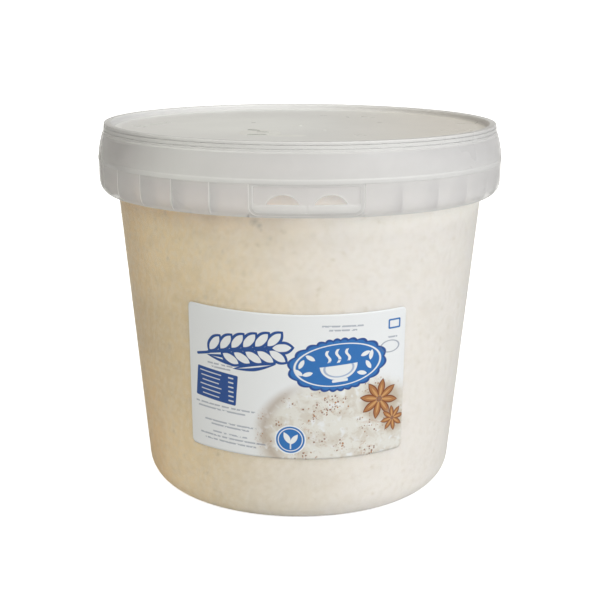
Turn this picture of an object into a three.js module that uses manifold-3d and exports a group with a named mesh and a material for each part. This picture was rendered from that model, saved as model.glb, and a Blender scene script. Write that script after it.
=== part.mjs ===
// A catering tub of rice pudding, shut with its press-fit lid: a tapered round tub with a ribbed collar,
// a tear-off tab in the collar's front, a lid with a sunk panel, a film label and the pudding inside.
// Millimetres, +Z up, the tub stands on z = 0 round the Z axis, and its front faces -Y.
import * as THREE from 'three';
import { mergeVertices } from 'three/addons/utils/BufferGeometryUtils.js';
import Module from 'manifold-3d';

const wasm = await Module();
wasm.setup();

// ---- Driving dimensions ---------------------------------------------------------------------------
const HEIGHT = 208.4; // foot to the crest of the lid's rim
const LID_RADIUS = 113.0; // the widest place, at the lid's lower edge and the collar's top
const COLLAR_TOP = 190.0;
const COLLAR_FOOT = 171.1;
const COLLAR_FOOT_RADIUS = 109.4;
const WALL_TOP_RADIUS = 103.0; // outside of the tapered wall, level with the collar's foot
const WALL_FOOT_RADIUS = 86.9; // the same wall's line carried down to z = 0
const FOOT_FILLET = 18.0; // the rounded edge between the wall and the foot
const WALL = 1.3;
const FOOT_RING = 9.0; // width of the flat ring that the tub stands on
const FOOT_RECESS = 0.9; // how far the middle of the base is sunk above the foot ring
const NECK_RADIUS = 107.7; // the tub's upright neck, hidden under the lid's skirt
const NECK_TOP = 206.6;
const RIM_RADIUS = 109.8; // outside of the lid's raised rim
const RIM_INNER_RADIUS = 105.2;
const SHOULDER = 203.5; // the ledge where the lid's rim meets its skirt
const SHOULDER_RADIUS = 110.7;
const PANEL_SINK = 3.2; // how far the lid's panel lies below its rim
const PANEL = 1.2;
const PLUG_FOOT = 198.5; // lower edge of the lid's inner sealing wall
const PUDDING_LEVEL = 184.0;
const FIT = 0.3; // the gap kept between neighbouring pieces
const RIB = 1.1; // thickness of a rib in the collar
const RIB_COUNT = 28;
const RIB_FREE_ARC = 25.1; // degrees on each side of the tab that hold no rib
const TAB_CENTRE = 1.8; // degrees round from the front, towards +X
const TAB_HALF_WIDTH = 28.4; // along the collar's face
const TAB_FOOT = 172.3;
const TAB_TOP = 188.65;
const TAB_CORNER = 5.0;
const TAB_BORDER = 2.1; // width of the raised edge of the tab
const TAB_POCKET = 0.6; // how far the tab's face is sunk inside that edge
const TAB_THICKNESS = 1.7;
const HOLE_OFFSET = 11.8; // each finger hole's middle, along the collar from the tab's middle
const HOLE_HALF_WIDTH = 8.2;
const HOLE_FOOT = 178.2;
const HOLE_RISE = 4.8;
const LABEL_WIDTH = 120.0;
const LABEL_HEIGHT = 80.0;
const LABEL_MIDDLE = 79.9; // height of the label's middle
const LABEL_SHIFT = -1.4; // of its middle, along the wall from the front
const LABEL_TILT = THREE.MathUtils.degToRad(-0.9);
const LABEL_CORNER = 2.6;
const LABEL_THICKNESS = 0.4;

// ---- Worked-out sizes -----------------------------------------------------------------------------
const FACETS = 64; // flats round every turned piece
const SLOPE = (WALL_TOP_RADIUS - WALL_FOOT_RADIUS) / COLLAR_FOOT;
const TAPER = Math.atan(SLOPE);
const FILLET_CENTRE = WALL_FOOT_RADIUS + SLOPE * FOOT_FILLET - FOOT_FILLET / Math.cos(TAPER);
const FLANGE_UNDERSIDE = COLLAR_TOP - WALL;
const PANEL_TOP = HEIGHT - PANEL_SINK;
const APEX_DISTANCE = (WALL_FOOT_RADIUS + SLOPE * LABEL_MIDDLE) / Math.sin(TAPER);

const wallRadius = (z) => WALL_FOOT_RADIUS + SLOPE * z;

// The collar's outside stands upright and rounds in at its foot, along an eighth power.
function collarRadius(z) {
  const t = THREE.MathUtils.clamp((COLLAR_TOP - z) / (COLLAR_TOP - COLLAR_FOOT), 0, 1);
  return LID_RADIUS - (LID_RADIUS - COLLAR_FOOT_RADIUS) * t ** 8;
}

// Heights of the corners in the collar's section, from its foot to its top, closer together below.
const COLLAR_BENDS = [1, 0.9, 0.76, 0.5, 0].map((t) => COLLAR_TOP - t * (COLLAR_TOP - COLLAR_FOOT));

// The lid's skirt swells from the shoulder out to the lid's radius along a quarter of a sine wave.
function skirtRadius(z) {
  const t = THREE.MathUtils.clamp((SHOULDER - z) / (SHOULDER - COLLAR_TOP), 0, 1);
  return SHOULDER_RADIUS + (LID_RADIUS - SHOULDER_RADIUS) * Math.sin((t * Math.PI) / 2);
}

// Even steps from one number to another, both ends included.
const steps = (from, to, count) =>
  Array.from({ length: count + 1 }, (_, i) => from + ((to - from) * i) / count);

// ---- Making closed solids -------------------------------------------------------------------------
// Keeps only merged positions, drops triangles that have no area and makes the faces look outwards.
function closed(geometry) {
  const bare = geometry.clone();
  bare.deleteAttribute('normal');
  bare.deleteAttribute('uv');
  const merged = mergeVertices(bare, 1e-4);
  const old = merged.index.array;
  const kept = [];
  for (let i = 0; i < old.length; i += 3) {
    const [a, b, c] = [old[i], old[i + 1], old[i + 2]];
    if (a !== b && b !== c && c !== a) kept.push(a, b, c);
  }
  if (volume(merged.attributes.position, kept) < 0) kept.reverse();
  merged.setIndex(kept);
  return merged;
}

function volume(position, index) {
  const corner = [new THREE.Vector3(), new THREE.Vector3(), new THREE.Vector3()];
  let sum = 0;
  for (let i = 0; i < index.length; i += 3) {
    corner.forEach((v, k) => v.fromBufferAttribute(position, index[i + k]));
    sum += corner[0].dot(corner[1].clone().cross(corner[2])) / 6;
  }
  return sum;
}

function toManifold(geometry) {
  const g = closed(geometry);
  const vertProperties = new Float32Array(g.attributes.position.array);
  return new wasm.Manifold(
    new wasm.Mesh({ numProp: 3, vertProperties, triVerts: new Uint32Array(g.index.array) }),
  );
}

function fromManifold(manifold) {
  const mesh = manifold.getMesh();
  const geometry = new THREE.BufferGeometry();
  const position = new Float32Array(mesh.vertProperties);
  geometry.setAttribute('position', new THREE.BufferAttribute(position, 3));
  geometry.setIndex(Array.from(mesh.triVerts));
  return geometry;
}

// A solid of revolution about Z from [radius, z] pairs that start and end on the axis.
function turned(profile) {
  const lathe = new THREE.LatheGeometry(
    profile.map(([r, z]) => new THREE.Vector2(r, z)),
    FACETS,
  );
  return closed(lathe.rotateX(Math.PI / 2));
}

// A plate that follows a turned face. Distances across it are in mm along that face, from the angle
// `centre`; at each of them the plate reaches from low(s) up to high(s), and from `depth` under the
// face out to `under` under it. Angle = centre + s / face(z).
function curvedPlate({ centre = 0, across, low, high, face, depth, under, rows = 1 }) {
  const heights = steps(0, 1, rows);
  const section = [
    ...heights.map((t) => [t, under]),
    ...heights.map((t) => [t, depth]).reverse(),
  ];
  const position = [];
  for (const s of across) {
    for (const [t, sunk] of section) {
      const z = low(s) + (high(s) - low(s)) * t;
      const angle = THREE.MathUtils.degToRad(centre) + s / face(z);
      const radius = face(z) - sunk;
      position.push(radius * Math.sin(angle), -radius * Math.cos(angle), z);
    }
  }
  const n = section.length;
  const index = [];
  for (let i = 0; i + 1 < across.length; i += 1) {
    for (let k = 0; k < n; k += 1) {
      const [a, b] = [i * n + k, i * n + ((k + 1) % n)];
      index.push(a, b, b + n, a, b + n, a + n);
    }
  }
  const last = (across.length - 1) * n;
  for (let k = 0; k < rows; k += 1) {
    const [a, b, c, d] = [k, k + 1, n - 2 - k, n - 1 - k];
    index.push(a, c, b, a, d, c);
    index.push(last + a, last + b, last + c, last + a, last + c, last + d);
  }
  const geometry = new THREE.BufferGeometry();
  geometry.setAttribute('position', new THREE.Float32BufferAttribute(position, 3));
  geometry.setIndex(index);
  return geometry;
}

// Stations across a plate of this half width, closer together where its corners are rounded.
function stations(half, corner, cornerSteps, middleSteps) {
  const bend = steps(0, Math.PI / 2, cornerSteps).map((a) => half - corner + corner * Math.cos(a));
  const right = bend.slice().reverse();
  const middle = steps(-(half - corner), half - corner, middleSteps).slice(1, -1);
  return [...right.map((s) => -s).reverse(), ...middle, ...right];
}

// How far a rounded corner lifts the edge at the distance s from the plate's middle.
function cornerLift(s, half, corner) {
  const over = Math.abs(s) - (half - corner);
  return over <= 0 ? 0 : corner - Math.sqrt(Math.max(0, corner ** 2 - over ** 2));
}

// ---- Tub ------------------------------------------------------------------------------------------
// The base and wall moved inwards by `offset`, from the axis up to height `top`, with the middle of the
// base raised inside the foot ring.
function bowlProfile(offset, top, arcSteps) {
  const ring = FILLET_CENTRE - FOOT_RING;
  const radius = FOOT_FILLET - offset;
  const arc = steps(-Math.PI / 2, -TAPER, arcSteps).map((a) => [
    FILLET_CENTRE + radius * Math.cos(a),
    FOOT_FILLET + radius * Math.sin(a),
  ]);
  const rise = offset + FOOT_RECESS;
  return [
    [0, rise],
    [ring - FOOT_RECESS, rise],
    [ring, offset],
    ...arc,
    [wallRadius(top) - offset / Math.cos(TAPER), top],
  ];
}

function makeTub() {
  const outside = bowlProfile(0, FLANGE_UNDERSIDE, 5);
  const inside = bowlProfile(WALL, COLLAR_TOP, 4).reverse();
  const collarInside = [...COLLAR_BENDS.slice(0, -1), FLANGE_UNDERSIDE].reverse();
  const profile = [
    ...outside,
    ...collarInside.map((z) => [collarRadius(z) - WALL, z]),
    ...COLLAR_BENDS.map((z) => [collarRadius(z), z]),
    [NECK_RADIUS, COLLAR_TOP],
    [NECK_RADIUS, NECK_TOP - 0.5],
    [NECK_RADIUS - 0.4, NECK_TOP],
    [NECK_RADIUS - WALL + 0.4, NECK_TOP],
    [NECK_RADIUS - WALL, NECK_TOP - 0.5],
    [NECK_RADIUS - WALL, COLLAR_TOP + 2 * WALL],
    ...inside,
  ];
  let tub = toManifold(turned(profile));
  for (const angle of ribAngles()) tub = tub.add(toManifold(makeRib(angle)));
  return fromManifold(tub.subtract(toManifold(tabOutline(-FIT, WALL + 3, -2))));
}

function ribAngles() {
  const arc = (360 - 2 * RIB_FREE_ARC) / (RIB_COUNT - 1);
  return steps(0, RIB_COUNT - 1, RIB_COUNT - 1).map((i) => TAB_CENTRE + RIB_FREE_ARC + i * arc);
}

// An upright web between the wall and the collar, sunk half a wall's thickness into both.
function makeRib(angle) {
  const sunk = WALL / 2;
  const [foot, top] = [COLLAR_FOOT + 0.4, FLANGE_UNDERSIDE + sunk];
  const heights = [foot, ...COLLAR_BENDS.slice(1, -1), top];
  const outline = [
    ...heights.map((z) => new THREE.Vector2(collarRadius(z) - sunk, z)),
    new THREE.Vector2(wallRadius(top) - sunk, top),
    new THREE.Vector2(wallRadius(foot) - sunk, foot),
  ];
  const web = new THREE.ExtrudeGeometry(new THREE.Shape(outline), {
    depth: RIB,
    bevelEnabled: false,
  });
  web.translate(0, 0, -RIB / 2).rotateX(Math.PI / 2);
  return web.rotateZ(THREE.MathUtils.degToRad(angle - 90));
}

// ---- Tear-off tab ---------------------------------------------------------------------------------
// The tab's outline drawn in by `inset`, from `depth` under the collar's face out to `under` under it.
function tabOutline(inset, depth, under) {
  const half = TAB_HALF_WIDTH - inset;
  const corner = Math.max(TAB_CORNER - inset, 1);
  return curvedPlate({
    centre: TAB_CENTRE,
    across: stations(half, corner, 4, 10),
    low: (s) => TAB_FOOT + inset + cornerLift(s, half, corner),
    high: () => TAB_TOP - inset,
    face: collarRadius,
    depth,
    under,
    rows: 6,
  });
}

// A finger hole: flat below, with a round arch above.
function fingerHole(side) {
  const middle = side * HOLE_OFFSET;
  return curvedPlate({
    centre: TAB_CENTRE,
    across: steps(-1, 1, 8).map((t) => middle + HOLE_HALF_WIDTH * Math.sin((t * Math.PI) / 2)),
    low: () => HOLE_FOOT,
    high: (s) => HOLE_FOOT + 0.3 + HOLE_RISE * (1 - ((s - middle) / HOLE_HALF_WIDTH) ** 2),
    face: collarRadius,
    depth: TAB_THICKNESS + 2,
    under: -2,
  });
}

function makeTab() {
  let tab = toManifold(tabOutline(0, TAB_THICKNESS, 0));
  tab = tab.subtract(toManifold(tabOutline(TAB_BORDER, TAB_POCKET, -2)));
  for (const side of [-1, 1]) tab = tab.subtract(toManifold(fingerHole(side)));
  return fromManifold(tab);
}

// ---- Lid ------------------------------------------------------------------------------------------
function makeLid() {
  const skirtFoot = COLLAR_TOP + FIT;
  const skirt = steps(SHOULDER, skirtFoot, 4);
  const channel = NECK_RADIUS + 0.6; // inside of the rim, clear of the neck
  const plug = NECK_RADIUS - WALL - FIT; // outside of the sealing wall, clear of the neck
  const ceiling = NECK_TOP + 0.4;
  return turned([
    [0, PANEL_TOP],
    [RIM_INNER_RADIUS - 0.9, PANEL_TOP],
    [RIM_INNER_RADIUS, PANEL_TOP + 0.8],
    [RIM_INNER_RADIUS, HEIGHT - 0.9],
    [RIM_INNER_RADIUS + 1.0, HEIGHT],
    [RIM_RADIUS - 1.2, HEIGHT],
    [RIM_RADIUS, HEIGHT - 1.2],
    [RIM_RADIUS, SHOULDER + 0.4],
    ...skirt.map((z) => [skirtRadius(z), z]),
    ...skirt.map((z) => [skirtRadius(z) - PANEL, z]).reverse(),
    [channel, SHOULDER + 0.4],
    [channel, ceiling],
    [plug, ceiling],
    [plug, PLUG_FOOT + 0.8],
    [plug - 0.5, PLUG_FOOT],
    [plug - PANEL, PLUG_FOOT],
    [plug - PANEL, PANEL_TOP - PANEL],
    [0, PANEL_TOP - PANEL],
  ]);
}

// ---- Label ----------------------------------------------------------------------------------------
// A rectangle laid on the cone: level with its middle line it dips, because the wall narrows downwards.
function makeLabel() {
  const half = LABEL_WIDTH / 2;
  const sag = (s) => s ** 2 / (2 * APEX_DISTANCE) + (s - LABEL_SHIFT) * Math.tan(LABEL_TILT);
  const lift = (s) => cornerLift(s - LABEL_SHIFT, half, LABEL_CORNER);
  return closed(
    curvedPlate({
      across: stations(half, LABEL_CORNER, 3, 22).map((s) => s + LABEL_SHIFT),
      low: (s) => LABEL_MIDDLE - LABEL_HEIGHT / 2 + sag(s) + lift(s),
      high: (s) => LABEL_MIDDLE + LABEL_HEIGHT / 2 + sag(s) - lift(s),
      face: wallRadius,
      depth: -FIT,
      under: -FIT - LABEL_THICKNESS,
      rows: 2,
    }),
  );
}

// ---- Pudding --------------------------------------------------------------------------------------
// Low swells and rice-sized bumps of a spooned-in surface, in mm, as a sum of crossing waves.
function surfaceRelief(x, y) {
  const swell = 0.7 * Math.sin(x / 31 + 0.6) * Math.cos(y / 27 - 0.4);
  const bumps = 0.5 * Math.sin(x / 6.1 + 1.3 * Math.sin(y / 13)) * Math.cos(y / 7.3 + x / 19);
  return swell + bumps;
}

function makePudding() {
  const bowl = bowlProfile(WALL + FIT, PUDDING_LEVEL, 4);
  const edge = bowl.at(-1)[0];
  const rings = steps(edge, 0, 8).slice(1);
  const pudding = turned([...bowl, ...rings.map((r) => [r, PUDDING_LEVEL])]);
  const position = pudding.attributes.position;
  for (let i = 0; i < position.count; i += 1) {
    const z = position.getZ(i);
    if (z < PUDDING_LEVEL - 0.01) continue;
    position.setZ(i, z + surfaceRelief(position.getX(i), position.getY(i)));
  }
  return pudding;
}

// ---- Scene graph ----------------------------------------------------------------------------------
function part(name, geometry, look) {
  const mesh = new THREE.Mesh(geometry, new THREE.MeshStandardMaterial(look));
  mesh.name = name;
  return mesh;
}

const clearPlastic = (opacity) => ({
  color: 0xdcdcd6,
  roughness: 0.28,
  metalness: 0,
  transparent: true,
  opacity,
});

const tubOfPudding = new THREE.Group();
tubOfPudding.add(
  part('tub', makeTub(), clearPlastic(0.35)),
  part('tamper_tab', makeTab(), clearPlastic(0.6)),
  part('lid', makeLid(), clearPlastic(0.55)),
  part('label', makeLabel(), { color: 0xf2f2f6, roughness: 0.4, metalness: 0 }),
  part('pudding', makePudding(), { color: 0xe6dcc6, roughness: 0.55, metalness: 0 }),
);

export default tubOfPudding;
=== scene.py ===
"""Looks for a shut catering tub of rice pudding: milky plastic, printed label, mottled cream.

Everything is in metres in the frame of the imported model: the tub stands on z = 0 round the Z axis
and its front faces -Y.
"""

import math
from functools import reduce

import bpy
import numpy as np
from bpy.props import FloatProperty, FloatVectorProperty, IntProperty, PointerProperty
from mathutils import Matrix, Vector


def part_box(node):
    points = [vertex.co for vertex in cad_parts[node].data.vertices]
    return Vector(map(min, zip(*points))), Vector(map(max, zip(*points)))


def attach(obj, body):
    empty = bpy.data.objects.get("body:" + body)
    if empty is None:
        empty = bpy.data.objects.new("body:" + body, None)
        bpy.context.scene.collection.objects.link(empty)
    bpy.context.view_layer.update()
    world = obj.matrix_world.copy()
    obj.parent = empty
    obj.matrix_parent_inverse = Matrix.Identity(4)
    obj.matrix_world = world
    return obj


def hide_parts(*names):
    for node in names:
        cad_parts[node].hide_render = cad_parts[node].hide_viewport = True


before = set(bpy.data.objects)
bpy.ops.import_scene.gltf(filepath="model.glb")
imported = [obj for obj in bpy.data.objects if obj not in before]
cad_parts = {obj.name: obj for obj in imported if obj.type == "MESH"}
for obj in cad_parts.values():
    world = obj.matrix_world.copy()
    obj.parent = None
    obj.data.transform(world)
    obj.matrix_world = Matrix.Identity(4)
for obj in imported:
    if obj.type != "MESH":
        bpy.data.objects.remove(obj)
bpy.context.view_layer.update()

bl_info = {
    "name": "Pudding tub",
    "version": (1, 0, 0),
    "blender": (4, 5, 0),
    "location": "3D View > Sidebar > Pudding tub",
    "description": "Builds a shut, labelled plastic tub of rice pudding in a pale studio",
    "category": "Add Mesh",
}

MM = 0.001
BODY = "root"
SEED = 23

# ---- Sizes read from the frame --------------------------------------------------------------------
LID_LOW, LID_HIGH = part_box("lid")
TAB_LOW, TAB_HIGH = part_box("tamper_tab")

HEIGHT = LID_HIGH.z
LID_RADIUS = LID_HIGH.x
FIT = 0.3 * MM  # the room between parts that fit together: lid and collar, tab and window
COLLAR_TOP = LID_LOW.z - FIT
NECK_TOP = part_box("tub")[1].z

# ---- Sizes of the tub's parts ---------------------------------------------------------------------
COLLAR_FOOT = 171.1 * MM
COLLAR_FOOT_RADIUS = 109.4 * MM
WALL_TOP_RADIUS = 103.0 * MM  # the tapered wall's outside, level with the collar's foot
WALL_FOOT_RADIUS = 86.9 * MM  # the same wall's line carried down to z = 0
WALL = 1.3 * MM
FOOT_FILLET = 18.0 * MM
FOOT_RING = 9.0 * MM
FOOT_RECESS = 0.9 * MM
NECK_RADIUS = 107.7 * MM
RIM_RADIUS = 109.8 * MM
RIM_INNER_RADIUS = 105.2 * MM
SHOULDER = 203.0 * MM
SHOULDER_RADIUS = 110.7 * MM
SKIRT_INSET = 0.28 * MM  # the skirt's face behind the bead at its foot
PANEL_SINK = 3.2 * MM
PANEL = 1.2 * MM  # thickness of the lid's panel and skirt
PANEL_RING = 0.3 * MM  # the panel's outermost ring lies lower by this
CLIP_ROOM = 0.6 * MM  # between the tub's neck and the lid's channel
PLUG_FOOT = 198.5 * MM
COLLAR_RADIUS = LID_RADIUS - 0.3 * MM  # the lid's foot stands proud of the collar
LIP_DROP = 2.2 * MM  # how far the lip at the lid's foot hangs below it, over the collar
LIP_GAP = 0.06 * MM  # between this lip and the collar
RIB_COUNT = 28
RIB_FREE_ARC = math.radians(25.1)
RIB_STEP = (2 * math.pi - 2 * RIB_FREE_ARC) / (RIB_COUNT - 1)
TAB_CENTRE = math.radians(1.8)
TAB_HALF_WIDTH = 28.4 * MM
TAB_CORNER = 5.0 * MM
HOLE_OFFSET = 11.8 * MM
HOLE_HALF_WIDTH = 8.2 * MM
HOLE_FOOT = 178.2 * MM
HOLE_RISE = 4.7 * MM
BORDER_REACH = 0.27 * MM  # how far the tab's raised edge goes past the tab's outline
BORDER_DEPTH = 1.7 * MM
TAB_PLATE = 1.0 * MM
LABEL_WIDTH = 120.0 * MM
LABEL_HEIGHT = 80.0 * MM
LABEL_MIDDLE = 79.9 * MM
LABEL_SHIFT = -1.4 * MM
LABEL_TILT = math.radians(-0.9)
LABEL_CORNER = 2.6 * MM
LIT_ARC = math.radians(52)  # the way that the key light falls on the collar, where rib lines are painted fainter
LIT_FROM, LIT_TO = 0.45, 0.85  # cosines of the arc from it, where this painted fading sets in

SLOPE = (WALL_TOP_RADIUS - WALL_FOOT_RADIUS) / COLLAR_FOOT
TAPER = math.atan(SLOPE)
FILLET_CENTRE = WALL_FOOT_RADIUS + SLOPE * FOOT_FILLET - FOOT_FILLET / math.cos(TAPER)
FLANGE_UNDERSIDE = COLLAR_TOP - WALL
PANEL_TOP = HEIGHT - PANEL_SINK
APEX_DISTANCE = (WALL_FOOT_RADIUS + SLOPE * LABEL_MIDDLE) / math.sin(TAPER)

# ---- Camera ---------------------------------------------------------------------------------------
IMAGE_SIDE = 600
FOCAL_PIXELS = 1291.7
SENSOR = 36.0
CAMERA_PLACE = Vector((0.364, -731.05, 278.45)) * MM
CAMERA_PITCH = 0.234  # radians below level
CAMERA_ROLL = 0.004


def wall_radius(z):
    """Outside of the tapered wall: foot radius + slope * z."""
    return WALL_FOOT_RADIUS + SLOPE * z


def collar_radius(z):
    """Outside of the collar: R - (R - r) t^8, with t from 0 at its top to 1 at its foot."""
    t = np.clip((COLLAR_TOP - z) / (COLLAR_TOP - COLLAR_FOOT), 0, 1)
    return COLLAR_RADIUS - (COLLAR_RADIUS - COLLAR_FOOT_RADIUS) * t**8


def skirt_radius(z):
    """Outside of the lid's skirt: r + (R - r) sin(t pi / 2), with t from 0 at the shoulder to 1."""
    t = np.clip((SHOULDER - z) / (SHOULDER - COLLAR_TOP), 0, 1)
    return SHOULDER_RADIUS + (LID_RADIUS - SHOULDER_RADIUS) * np.sin(t * math.pi / 2)


# ---- Settings shown in the sidebar ----------------------------------------------------------------
def length_setting(name, description, millimetres):
    return FloatProperty(
        name=name, description=description, default=millimetres * MM, unit="LENGTH", precision=5
    )


def colour_setting(name, description, *linear):
    return FloatVectorProperty(
        name=name, description=description, default=linear, subtype="COLOR", size=3, min=0, max=1
    )


class PuddingTubSizes(bpy.types.PropertyGroup):
    """Sizes that a user may change without leaving the frame"""

    columns: IntProperty(
        name="Columns", description="Faces round each turned piece", default=360, min=64, max=512
    )
    rib: length_setting("Rib", "Thickness of a rib in the collar", 0.9)
    tab_border: length_setting("Tab border", "Width of the raised edge round the tab", 2.1)
    tab_pocket: length_setting("Tab pocket", "Depth of the tab's face inside its edge", 0.14)
    label_film: length_setting("Label film", "Thickness of the label", 0.16)
    level: length_setting("Pudding level", "Height of the pudding's surface", 184.0)
    grain_length: length_setting("Grain length", "Length of a swollen rice grain", 7.0)


class PuddingTubColours(bpy.types.PropertyGroup):
    """Colours of the plastic, the pudding and the label's inks, as linear values"""

    plastic: colour_setting("Plastic", "Milky plastic", 0.805, 0.785, 0.81)
    cream: colour_setting("Cream", "Cooked milk of the pudding", 0.87, 0.825, 0.80)
    # Painted warmth: the cream's colour on the tub's left, standing in for warm light from there.
    warm_lit_cream: colour_setting("Toasted cream", "Warmer cream towards the tub's left", 0.97, 0.76, 0.455)
    grain: colour_setting("Grain", "Rice and flecks seen in the cream", 0.52, 0.43, 0.29)
    # Grey of the spots on the wall: darker spots in the cream, and painted shadow under the collar and the
    # tab.
    spot_and_shadow_grey: colour_setting("Dried cream", "Spots of dried cream on the wall", 0.30, 0.29, 0.24)
    paper: colour_setting("Label white", "Unprinted label", 0.85, 0.86, 0.91)
    deep_blue: colour_setting("Deep blue", "Darker ink of the label", 0.012, 0.07, 0.30)
    sky_blue: colour_setting("Sky blue", "Lighter ink of the label", 0.02, 0.16, 0.50)
    spice: colour_setting("Spice", "Brown ink of the label", 0.22, 0.06, 0.02)
    biscuit: colour_setting("Biscuit", "Tan ink of the label", 0.46, 0.20, 0.07)


# ---- Mesh helpers ---------------------------------------------------------------------------------
def signed_volume(points, faces):
    """Sum of a . (b x c) / 6 over each face's triangle fan: positive when the faces look outwards."""
    total = 0.0
    for k in (1, 2):
        a, b, c = points[faces[:, 0]], points[faces[:, k]], points[faces[:, k + 1]]
        total += np.einsum("ij,ij->i", a, np.cross(b, c)).sum() / 6
    return total


def add_piece(name, points, faces, material, nodes=(), thick=None, uv=None, solid=True):
    """Makes one mesh object from whole arrays. A triangle is a face whose last corner is repeated."""
    points = np.asarray(points, float).reshape(-1, 3)
    faces = np.asarray(faces, int)
    if solid and signed_volume(points, faces) < 0:
        faces = faces[:, ::-1]
    rows = [tuple(dict.fromkeys(face)) for face in faces.tolist() if len(set(face)) > 2]
    mesh = bpy.data.meshes.new(name)
    mesh.from_pydata(points.tolist(), [], rows)
    mesh.update()
    mesh.polygons.foreach_set("use_smooth", np.ones(len(mesh.polygons), bool))
    if thick is not None:
        attribute = mesh.attributes.new("thick", "FLOAT", "POINT")
        attribute.data.foreach_set("value", np.asarray(thick, np.float32).ravel())
    if uv is not None:
        corner = np.zeros(len(mesh.loops), np.int32)
        mesh.loops.foreach_get("vertex_index", corner)
        layer = mesh.uv_layers.new(name="UVMap")
        layer.data.foreach_set("uv", np.asarray(uv, np.float32).reshape(-1, 2)[corner].ravel())
    mesh.materials.append(material)
    piece = bpy.data.objects.new(name, mesh)
    bpy.context.scene.collection.objects.link(piece)
    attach(piece, BODY)
    if nodes:
        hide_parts(*nodes)
    return piece


def grid_faces(rows, columns, wrap_rows=False, wrap_columns=False):
    """Corner numbers of a rows x columns grid of points, joined end to end where it wraps."""
    i, j = np.meshgrid(
        np.arange(rows if wrap_rows else rows - 1),
        np.arange(columns if wrap_columns else columns - 1),
        indexing="ij",
    )
    i2, j2 = (i + 1) % rows, (j + 1) % columns
    corners = (i * columns + j, i2 * columns + j, i2 * columns + j2, i * columns + j2)
    return np.stack([c.ravel() for c in corners], 1)


def closed_pad(rows, columns):
    """Faces of a pad made of two rows x columns grids of points, the upper one first, with their
    four sides joined."""
    upper = grid_faces(rows, columns)
    count = rows * columns
    lower = upper[:, ::-1] + count
    i, j = np.arange(rows), np.arange(columns)
    edge = np.concatenate([
        i[:-1] * columns, (rows - 1) * columns + j[:-1], (i[:0:-1] + 1) * columns - 1, j[:0:-1],
    ])
    after = np.roll(edge, -1)
    sides = np.stack([edge, after, after + count, edge + count], 1)
    return np.concatenate([upper, lower, sides])


def eased(corners, steps=6, guard=0.25 * MM):
    """Rounds the corners of a polyline of (r, z, ease) rows. A corner P with ease e is replaced by
    (1-s)^2 A + 2s(1-s) P + s^2 B, where A and B lie e from P along its two edges; a guard point
    just outside A and B keeps the long faces flat."""
    corners = np.asarray(corners, float)
    points = [corners[0, :2]]
    s = np.linspace(0, 1, steps + 1)[:, None]
    for before, corner, after in zip(corners[:-2], corners[1:-1], corners[2:]):
        p, ease = corner[:2], corner[2]
        if ease == 0:
            points.append(p)
            continue
        back, ahead = before[:2] - p, after[:2] - p
        reach = np.hypot(*back), np.hypot(*ahead)
        back, ahead = back / reach[0], ahead / reach[1]
        a, b = p + back * min(ease, reach[0] * 0.45), p + ahead * min(ease, reach[1] * 0.45)
        if reach[0] > 4 * ease:
            points.append(a + back * guard)
        points.extend((1 - s) ** 2 * a + 2 * s * (1 - s) * p + s**2 * b)
        if reach[1] > 4 * ease:
            points.append(b + ahead * guard)
    points.append(corners[-1, :2])
    return np.array(points)


def around(r, angle, z):
    """(r sin a, -r cos a, z): a point r from the axis, at an angle from the front to the right."""
    return np.stack(np.broadcast_arrays(r * np.sin(angle), -r * np.cos(angle), z), -1)


def smooth(t):
    """t^2 (3 - 2 t), with t kept within 0 and 1."""
    t = np.clip(t, 0, 1)
    return t * t * (3 - 2 * t)


def pole_faces(columns, count):
    """Triangles that close a columns x count grid carried round the axis: those of its first row meet
    in the point numbered after its own, and those of its last row in the next one."""
    ring = np.arange(columns)
    near, far = ring * count, (ring + 1) % columns * count
    first, last = np.full(columns, columns * count), np.full(columns, columns * count + 1)
    return np.concatenate([
        np.stack([near, first, far, far], 1),
        np.stack([near + count - 1, far + count - 1, last, last], 1),
    ])


def turned(name, profile, columns, material, nodes=(), thick=None):
    """A closed solid of revolution from a profile that starts and ends on the axis: point (i, j) is
    profile point j at angle i, and the profile's two ends are single points."""
    angles = np.arange(columns) * 2 * math.pi / columns
    inner = profile[1:-1]
    ring = around(inner[:, 0], angles[:, None], inner[:, 1])
    faces = np.concatenate([
        grid_faces(columns, len(inner), wrap_rows=True), pole_faces(columns, len(inner)),
    ])
    points = np.concatenate([
        ring.reshape(-1, 3), [[0, 0, profile[0, 1]], [0, 0, profile[-1, 1]]]
    ])
    if thick is not None:
        thick = np.broadcast_to(thick, (columns, len(profile)))
        thick = np.concatenate([thick[:, 1:-1].ravel(), thick[0, [0, -1]]])
    return add_piece(name, points, faces, material, nodes, thick)


def sharp(r, z):
    """Rows (r, z, 0) of a profile, which eased leaves as they are."""
    return np.stack([r, z, 0 * z], 1)


def bowl_profile(offset, top, steps):
    """The base and wall moved inwards by offset: the axis, the foot ring, the round edge, the wall."""
    ring = FILLET_CENTRE - FOOT_RING
    rise = offset + FOOT_RECESS
    a = np.linspace(-math.pi / 2, -TAPER, steps)
    fillet = FOOT_FILLET - offset
    arc = sharp(FILLET_CENTRE + fillet * np.cos(a), FOOT_FILLET + fillet * np.sin(a))
    z = np.linspace(arc[-1, 1], top, 24)[1:]
    wall = sharp(wall_radius(z) - offset / math.cos(TAPER), z)
    start = [[0, rise, 0], [ring - FOOT_RECESS, rise, 0.4 * MM], [ring, offset, 0.4 * MM]]
    return np.concatenate([start, arc, wall])


def on_collar(s, z, depth):
    """A point s round the collar from the tab's middle, at height z, sunk by depth under its face."""
    face = collar_radius(z)
    return around(face - depth, TAB_CENTRE + s / face, z)


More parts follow.
